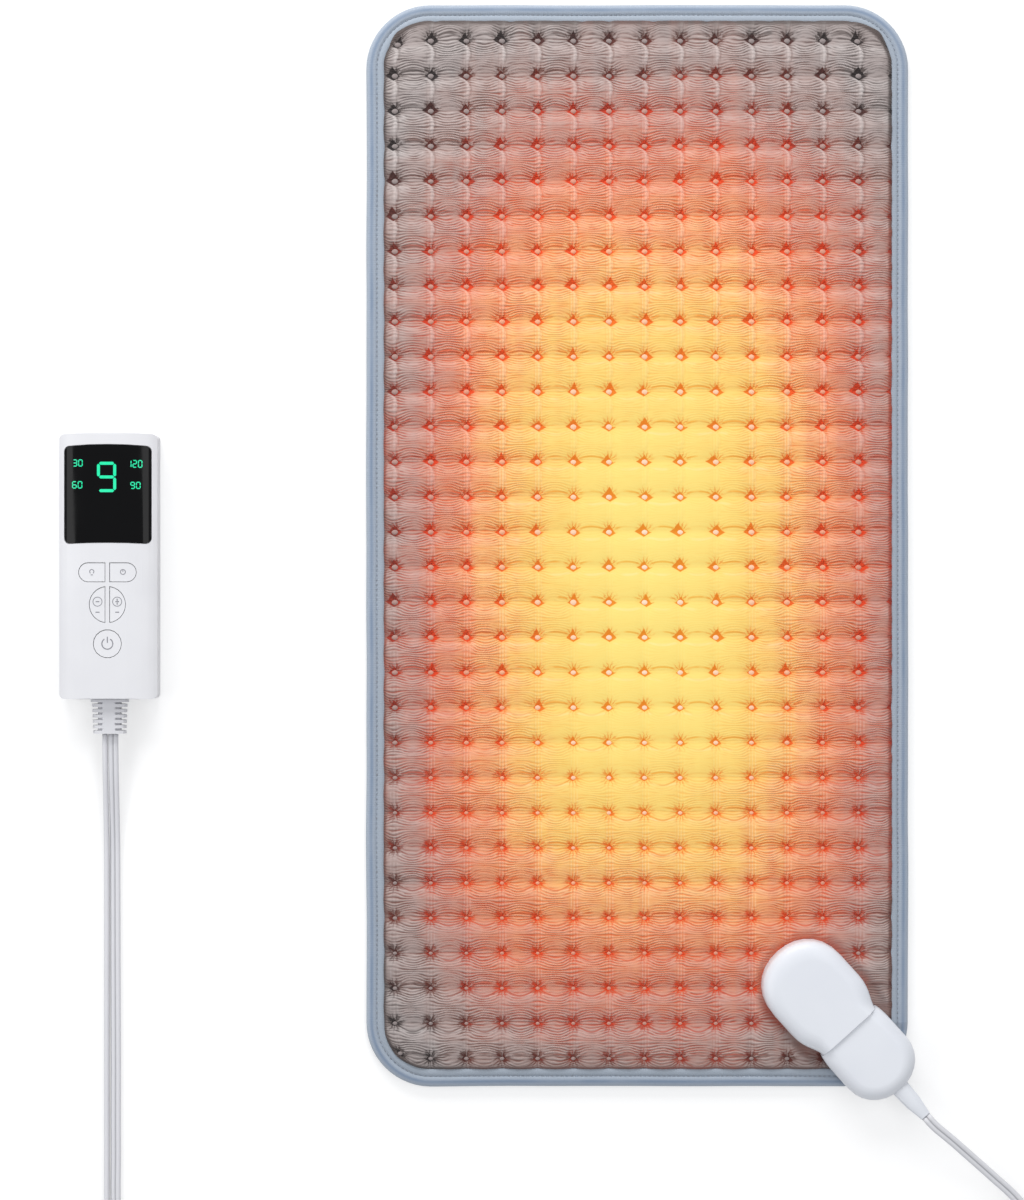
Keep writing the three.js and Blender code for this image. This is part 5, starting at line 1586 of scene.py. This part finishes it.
            # Painted shade kept at the points: in low places, most above a row, round the connector's seat
            # and at the edge.
            low = fade(vert.co.z, *self.low_shade) * fade(above, *self.low_side)
            vert[painted_shade] = max(low, fade(seat, *self.seat_shade), fade(inset, *self.edge_shade))
        for vert in new_verts(bmesh.ops.extrude_edge_only(shape, edges=rim_edges(shape))):
            vert.co.z = self.underside
        bmesh.ops.holes_fill(shape, edges=rim_edges(shape))
        bmesh.ops.recalc_face_normals(shape, faces=shape.faces)
        shape.to_mesh(made)
        shape.free()
        shade_faces(made, True)

    def build_beads(self, knots: list[Vector], flats: list[Vector]) -> bpy.types.Object:
        """Makes the small round knob of cloth in each sewn point.

        Args:
            knots: Where the sewn points are.
            flats: Where each is on the flat cloth.

        Returns:
            The knobs as one piece.
        """
        ball = bmesh.new()
        round_steps, high_steps = self.knob_steps
        bmesh.ops.create_uvsphere(ball, u_segments=round_steps, v_segments=high_steps, radius=1.0)
        ball.verts.index_update()
        power = self.knob_fullness
        for vert in ball.verts:
            x, y, z = vert.co
            full = (abs(x) ** power + abs(y) ** power) ** (1 / power)
            drawn = math.hypot(x, y) / max(full, 1e-9)
            vert.co = (x * drawn * self.knob[0], y * drawn * self.knob[1], z * self.knob[2])
        spots = [vert.co.copy() for vert in ball.verts]
        faces = [[vert.index for vert in face.verts] for face in ball.faces]
        ball.free()
        shape = bmesh.new()
        cloth = shape.verts.layers.float_vector.new("cloth")
        for knot, flat in zip(knots, flats):
            if self.seat_distance(knot.x, knot.y) < self.seat_clear:
                continue
            uneven = self.knob_ripple.at(flat.x, flat.y)
            place = knot + Vector(self.knob_place) + Vector((0, 0, self.knob_lift * uneven))
            shrink = fade(flat.y, *PLUSH.low_end, 1.0, self.knob_low)
            stretch = Vector((1.0, 1 + self.knob_stretch * uneven, 1.0)) * shrink
            verts = [shape.verts.new(place + spot * stretch) for spot in spots]
            for vert in verts:
                vert[cloth] = flat
            for corners in faces:
                shape.faces.new([verts[corner] for corner in corners])
        return make_piece(shape, "sewn_points", BEAD_PLUSH)

    def build_back(self) -> bpy.types.Object:
        """Makes the plain back cover, drawn up a little at its edge."""
        shape = bmesh.new()
        across, along = self.back_steps
        bmesh.ops.create_grid(shape, x_segments=across, y_segments=along, size=0.5)
        inset = self.binding_width - self.back_lap
        wide, tall = self.width - 2 * inset, self.length - 2 * inset
        bmesh.ops.scale(shape, vec=(wide, tall, 1), verts=shape.verts)
        low, high = Vector((-wide / 2, -tall / 2)), Vector((wide / 2, tall / 2))
        for vert in shape.verts:
            vert.co.z = self.back_ripple.strength + self.back_ripple.at(vert.co.x, vert.co.y)
            x, y = self.round_corner(vert.co.x, vert.co.y, low, high, self.corner - inset)
            vert.co.x, vert.co.y = x, y
            if vert.is_boundary:
                vert.co.z = self.back_edge
        upper = new_verts(bmesh.ops.extrude_face_region(shape, geom=shape.faces[:], use_keep_orig=True))
        bmesh.ops.translate(shape, vec=(0, 0, self.back_thick), verts=upper)
        bmesh.ops.recalc_face_normals(shape, faces=shape.faces)
        return make_piece(shape, "plain_back", BACK_PLUSH)

    def binding_section(self) -> list[tuple[float, float]]:
        """Gives the folded tape's section as distances outwards and heights."""
        top, wide = self.binding_height, self.binding_width
        half = top / 2
        section = [(-wide + run * MM, rise * MM) for run, rise in FOLD_FOOT]
        section.append((-half, 0.0))
        for count in range(1, self.fold_steps):
            angle = math.pi * count / self.fold_steps
            section.append((-half + half * math.sin(angle), half - half * math.cos(angle)))
        for start, height, runs in (
            (-half, top, FOLD_OUTER), (-wide, top, FOLD_INNER), (-half, top, FOLD_UNDER),
            (-half, 0.0, FOLD_INSIDE),
        ):
            section += [(start + run * MM, height + rise * MM) for run, rise in runs]
        return section

    def build_binding(self) -> bpy.types.Object:
        """Runs the folded tape round the edge, a little wavy as sewn tape is."""
        stations = []
        for point, out in self.outline(0.0, self.tape_step):
            sway = self.tape_sway.at(point.x, point.y) - self.tape_sway.strength
            lift = self.tape_lift.at(point.x, point.y) + self.tape_lift.strength
            ahead = Vector((-out.y, out.x, 0))
            turn = Matrix((out, Vector((0, 0, 1)), -ahead)).transposed().to_4x4()
            place = Vector((point.x, point.y, 0)) + out * sway
            stations.append(Matrix.Translation(place + Vector((0, 0, lift))) @ turn)
        shape = bmesh.new()
        rings = sweep(shape, self.binding_section(), stations, closed=True)
        for vert in (vert for ring in rings for vert in ring):
            if vert.co.z < self.tape_foot:
                vert.co.z = 0.0
        return make_piece(shape, "binding_tape", TAPE)

    def build_stitches(self) -> bpy.types.Object:
        """Sews short stitches along the binding's groove."""
        shape = bmesh.new()
        height = self.binding_height - self.stitch_sink
        walk = self.outline(self.binding_height / 2 + self.stitch_inset, self.stitch_step)
        for number, (point, out) in enumerate(walk):
            angle = math.atan2(out.y, out.x)
            tilt = self.stitch_tilt.at(number, 0.0)
            form = (
                Matrix.Translation(Vector((point.x, point.y, height)))
                @ Matrix.Rotation(angle + tilt, 4, "Z")
                @ Matrix.Diagonal((*self.stitch_size, 1.0))
            )
            bmesh.ops.create_icosphere(shape, subdivisions=1, radius=1.0, matrix=form)
        return make_piece(shape, "binding_stitches", THREAD)


class Segment(Enum):
    """The seven bars of a figure, each as its middle and whether it lies across."""

    TOP = (0.0, 1.0, True)
    UPPER_RIGHT = (0.5, 0.5, False)
    LOWER_RIGHT = (0.5, -0.5, False)
    BOTTOM = (0.0, -1.0, True)
    LOWER_LEFT = (-0.5, -0.5, False)
    UPPER_LEFT = (-0.5, 0.5, False)
    MIDDLE = (0.0, 0.0, True)


FIGURES: dict[str, str] = {
    "0": "ABCDEF", "1": "BC", "2": "ABGED", "3": "ABGCD", "6": "AFGECD", "9": "ABCDFG",
}
BARS: dict[str, Segment] = dict(zip("ABCDEFG", Segment))
# The lit texts in millimetres: each text with its middle, one figure's width and height, and the
# bars' width.
TEXTS: dict[str, tuple[tuple[str, float, float, float, float, float], ...]] = {
    "heat_figure": (("9", -0.4, 48.7, 8.9, 15.0, 1.65),),
    "time_figures": (
        ("30", -16.3, 56.4, 2.0, 3.4, 0.55), ("120", 15.0, 55.9, 1.9, 3.7, 0.55),
        ("60", -16.6, 44.4, 2.1, 3.5, 0.55), ("90", 15.4, 44.1, 2.0, 3.4, 0.55),
    ),
}
# Each key's sign in millimetres: one arc (middle, radius, line, start and sweep in degrees), then
# bars (middle, width, height, cut corner). An open ring and bar for power, a ring with a short bar
# or a cross and a dash for less and more, a bulb for heat and a dial with a hand for time.
SIGNS: dict[str, tuple[tuple[float, ...], ...]] = {
    "power": ((0, -42.8, 3.0, 0.6, 122, 296), (0, -40.6, 0.6, 3.4, 0.2)),
    "down": ((-5.4, -19.7, 2.5, 0.4, 0, 360), (-5.4, -19.7, 2.0, 0.6, 0.1), (-5.4, -25.5, 2.2, 0.55, 0.1)),
    "up": (
        (5.4, -19.7, 2.5, 0.4, 0, 360), (5.4, -19.7, 2.0, 0.6, 0.1), (5.4, -20.75, 0.6, 1.2, 0.1),
        (5.4, -18.65, 0.6, 1.2, 0.1), (5.4, -25.5, 2.2, 0.55, 0.1),
    ),
    "heat": ((-8.55, -3.2, 1.15, 0.45, -50, 280), (-8.55, -5.0, 1.2, 0.45, 0.1)),
    "timer": ((8.55, -3.4, 1.35, 0.45, 0, 360), (8.55, -2.9, 0.4, 1.0, 0.1)),
}


@dataclass
class Handset:
    """What is shown on the handset: the lit figures and the signs on its keys."""

    middle: tuple[float, float] = (-291.4 * MM, -11.3 * MM)
    half_width: float = 27.0 * MM
    height: float = 23.0 * MM
    crown_drop: float = 4.6 * MM
    crown_power: float = 4.0
    lens_sink: float = 0.15 * MM
    key_sink: float = 0.3 * MM
    film: float = 0.05 * MM
    figure_gap: float = 1.9
    bar_short: float = 0.45
    bar_cut: float = 0.42
    ring_steps: int = 28
    arc_steps: int = 20

    def build(self) -> None:
        """Makes the figures and the signs."""
        for name, words in TEXTS.items():
            piece = self.figures(name, words)
            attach(piece, "controller")
        for name, (ring, *bars) in SIGNS.items():
            shape = bmesh.new()
            self.arc(shape, *ring)
            for bar in bars:
                self.bar(shape, *bar)
            piece = self.lay_on(shape, f"{name}_sign", KEY_INK, self.key_sink)
            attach(piece, f"{name}_key")

    def lay_on(
        self, shape: bmesh.types.BMesh, name: str, finish: Finish, sink: float
    ) -> bpy.types.Object:
        """Lays a thin flat shape on the crowned face.

        Args:
            shape: The shape in millimetres, about the handset's middle, from height 0.
            name: The piece's name.
            finish: What it is made of.
            sink: How far the face under it lies below the crown.

        Returns:
            The piece.
        """
        for vert in shape.verts:
            vert.co *= MM
            drop = self.crown_drop * abs(vert.co.x / self.half_width) ** self.crown_power
            vert.co.z += self.height - drop - sink
            vert.co.x += self.middle[0]
            vert.co.y += self.middle[1]
        bmesh.ops.recalc_face_normals(shape, faces=shape.faces)
        piece = make_piece(shape, name, finish)
        shade_faces(piece.data, False)
        return piece

    def bar(
        self, shape: bmesh.types.BMesh, x: float, y: float, wide: float, tall: float, cut: float
    ) -> None:
        """Adds one flat bar with cut corners.

        Args:
            shape: The shape that gets it.
            x: Its middle across, in millimetres.
            y: Its middle along.
            wide: Its width.
            tall: Its height.
            cut: How much is cut from its corners.
        """
        form = Matrix.Translation((x, y, 0)) @ Matrix.Diagonal((wide, tall, 1, 1))
        made = bmesh.ops.create_grid(shape, x_segments=3, y_segments=1, size=0.5, matrix=form)
        corners = [v for v in made["verts"] if len(v.link_edges) == 2]
        ends = bmesh.ops.bevel(
            shape, geom=corners, offset=cut, offset_type="OFFSET", segments=1, profile=0.5,
            affect="VERTICES", material=-1,
        )
        verts = {v for v in made["verts"] if v.is_valid} | {v for v in ends["verts"] if v.is_valid}
        self.thicken(shape, list({face for vert in verts for face in vert.link_faces}))

    def thicken(self, shape: bmesh.types.BMesh, faces: list[bmesh.types.BMFace]) -> None:
        """Gives flat faces the thickness of the film."""
        top = new_verts(bmesh.ops.extrude_face_region(shape, geom=faces, use_keep_orig=True))
        bmesh.ops.translate(shape, vec=(0, 0, self.film / MM), verts=top)

    def arc(
        self, shape: bmesh.types.BMesh, x: float, y: float, radius: float, thick: float,
        start: float, sweep_angle: float,
    ) -> None:
        """Adds a flat arc, or a ring for a full turn.

        Args:
            shape: The shape that gets it.
            x: Its middle across, in millimetres.
            y: Its middle along.
            radius: Its middle radius.
            thick: Its line's width.
            start: Where it starts, in degrees from +X.
            sweep_angle: How far it runs, in degrees.
        """
        turn = Matrix.Translation((x, y, 0)) @ Matrix.Rotation(math.radians(start), 4, "Z")
        line = [shape.verts.new(turn @ Vector((radius + side * thick / 2, 0, 0))) for side in (-1, 1)]
        edge = shape.edges.new(line)
        before = set(shape.faces)
        full = sweep_angle >= 360
        bmesh.ops.spin(
            shape, geom=[*line, edge], cent=(x, y, 0), axis=(0, 0, 1), dvec=(0, 0, 0),
            angle=math.radians(sweep_angle), steps=self.ring_steps if full else self.arc_steps,
            use_merge=full,
        )
        self.thicken(shape, [face for face in shape.faces if face not in before])

    def figures(
        self, name: str, words: tuple[tuple[str, float, float, float, float, float], ...]
    ) -> bpy.types.Object:
        """Makes lit figures from bars.

        Args:
            name: The piece's name.
            words: Each text with its middle, one figure's width and height, and the bar's width.

        Returns:
            The figures as one piece.
        """
        shape = bmesh.new()
        for text, x, y, wide, tall, line in words:
            pitch = wide + line * self.figure_gap
            for place, figure in enumerate(text):
                left = x + (place - (len(text) - 1) / 2) * pitch
                for letter in FIGURES[figure]:
                    across, up, flat = BARS[letter].value
                    run = (wide if flat else tall / 2) - line * self.bar_short
                    size = (run, line) if flat else (line, run)
                    spot = (left + across * wide, y + up * tall / 2)
                    self.bar(shape, *spot, *size, line * self.bar_cut)
        return self.lay_on(shape, name, SEGMENT_LIGHT, self.lens_sink)


WELD_DISTANCE = 0.002 * MM
SHARP_ANGLE = math.radians(32)


def dress_nodes() -> None:
    """Gives every solid that shows its finish, and smooth faces between its sharp edges."""
    for name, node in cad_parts.items():
        if node.hide_render:
            continue
        finish = NODE_FINISHES.get(name) or NODE_FINISHES.get(name.rsplit("_", 1)[0])
        if finish is None:
            continue
        node.data.materials.clear()
        node.data.materials.append(finish.make())
        weld = node.modifiers.new("weld", "WELD")
        weld.merge_threshold = WELD_DISTANCE
        split = node.modifiers.new("edges", "EDGE_SPLIT")
        split.split_angle = SHARP_ANGLE
        shade_faces(node.data, True)
        even = node.modifiers.new("even", "WEIGHTED_NORMAL")
        even.keep_sharp = True


def main() -> None:
    """Builds the picture in order."""
    logging.basicConfig(level=logging.INFO, format="%(asctime)s %(name)s %(message)s")
    for assembly in (Stage(), Leads(), Pad(), Handset()):
        assembly.build()
        LOG.info("%s done", type(assembly).__name__)
    dress_nodes()


if __name__ == "__main__":
    main()
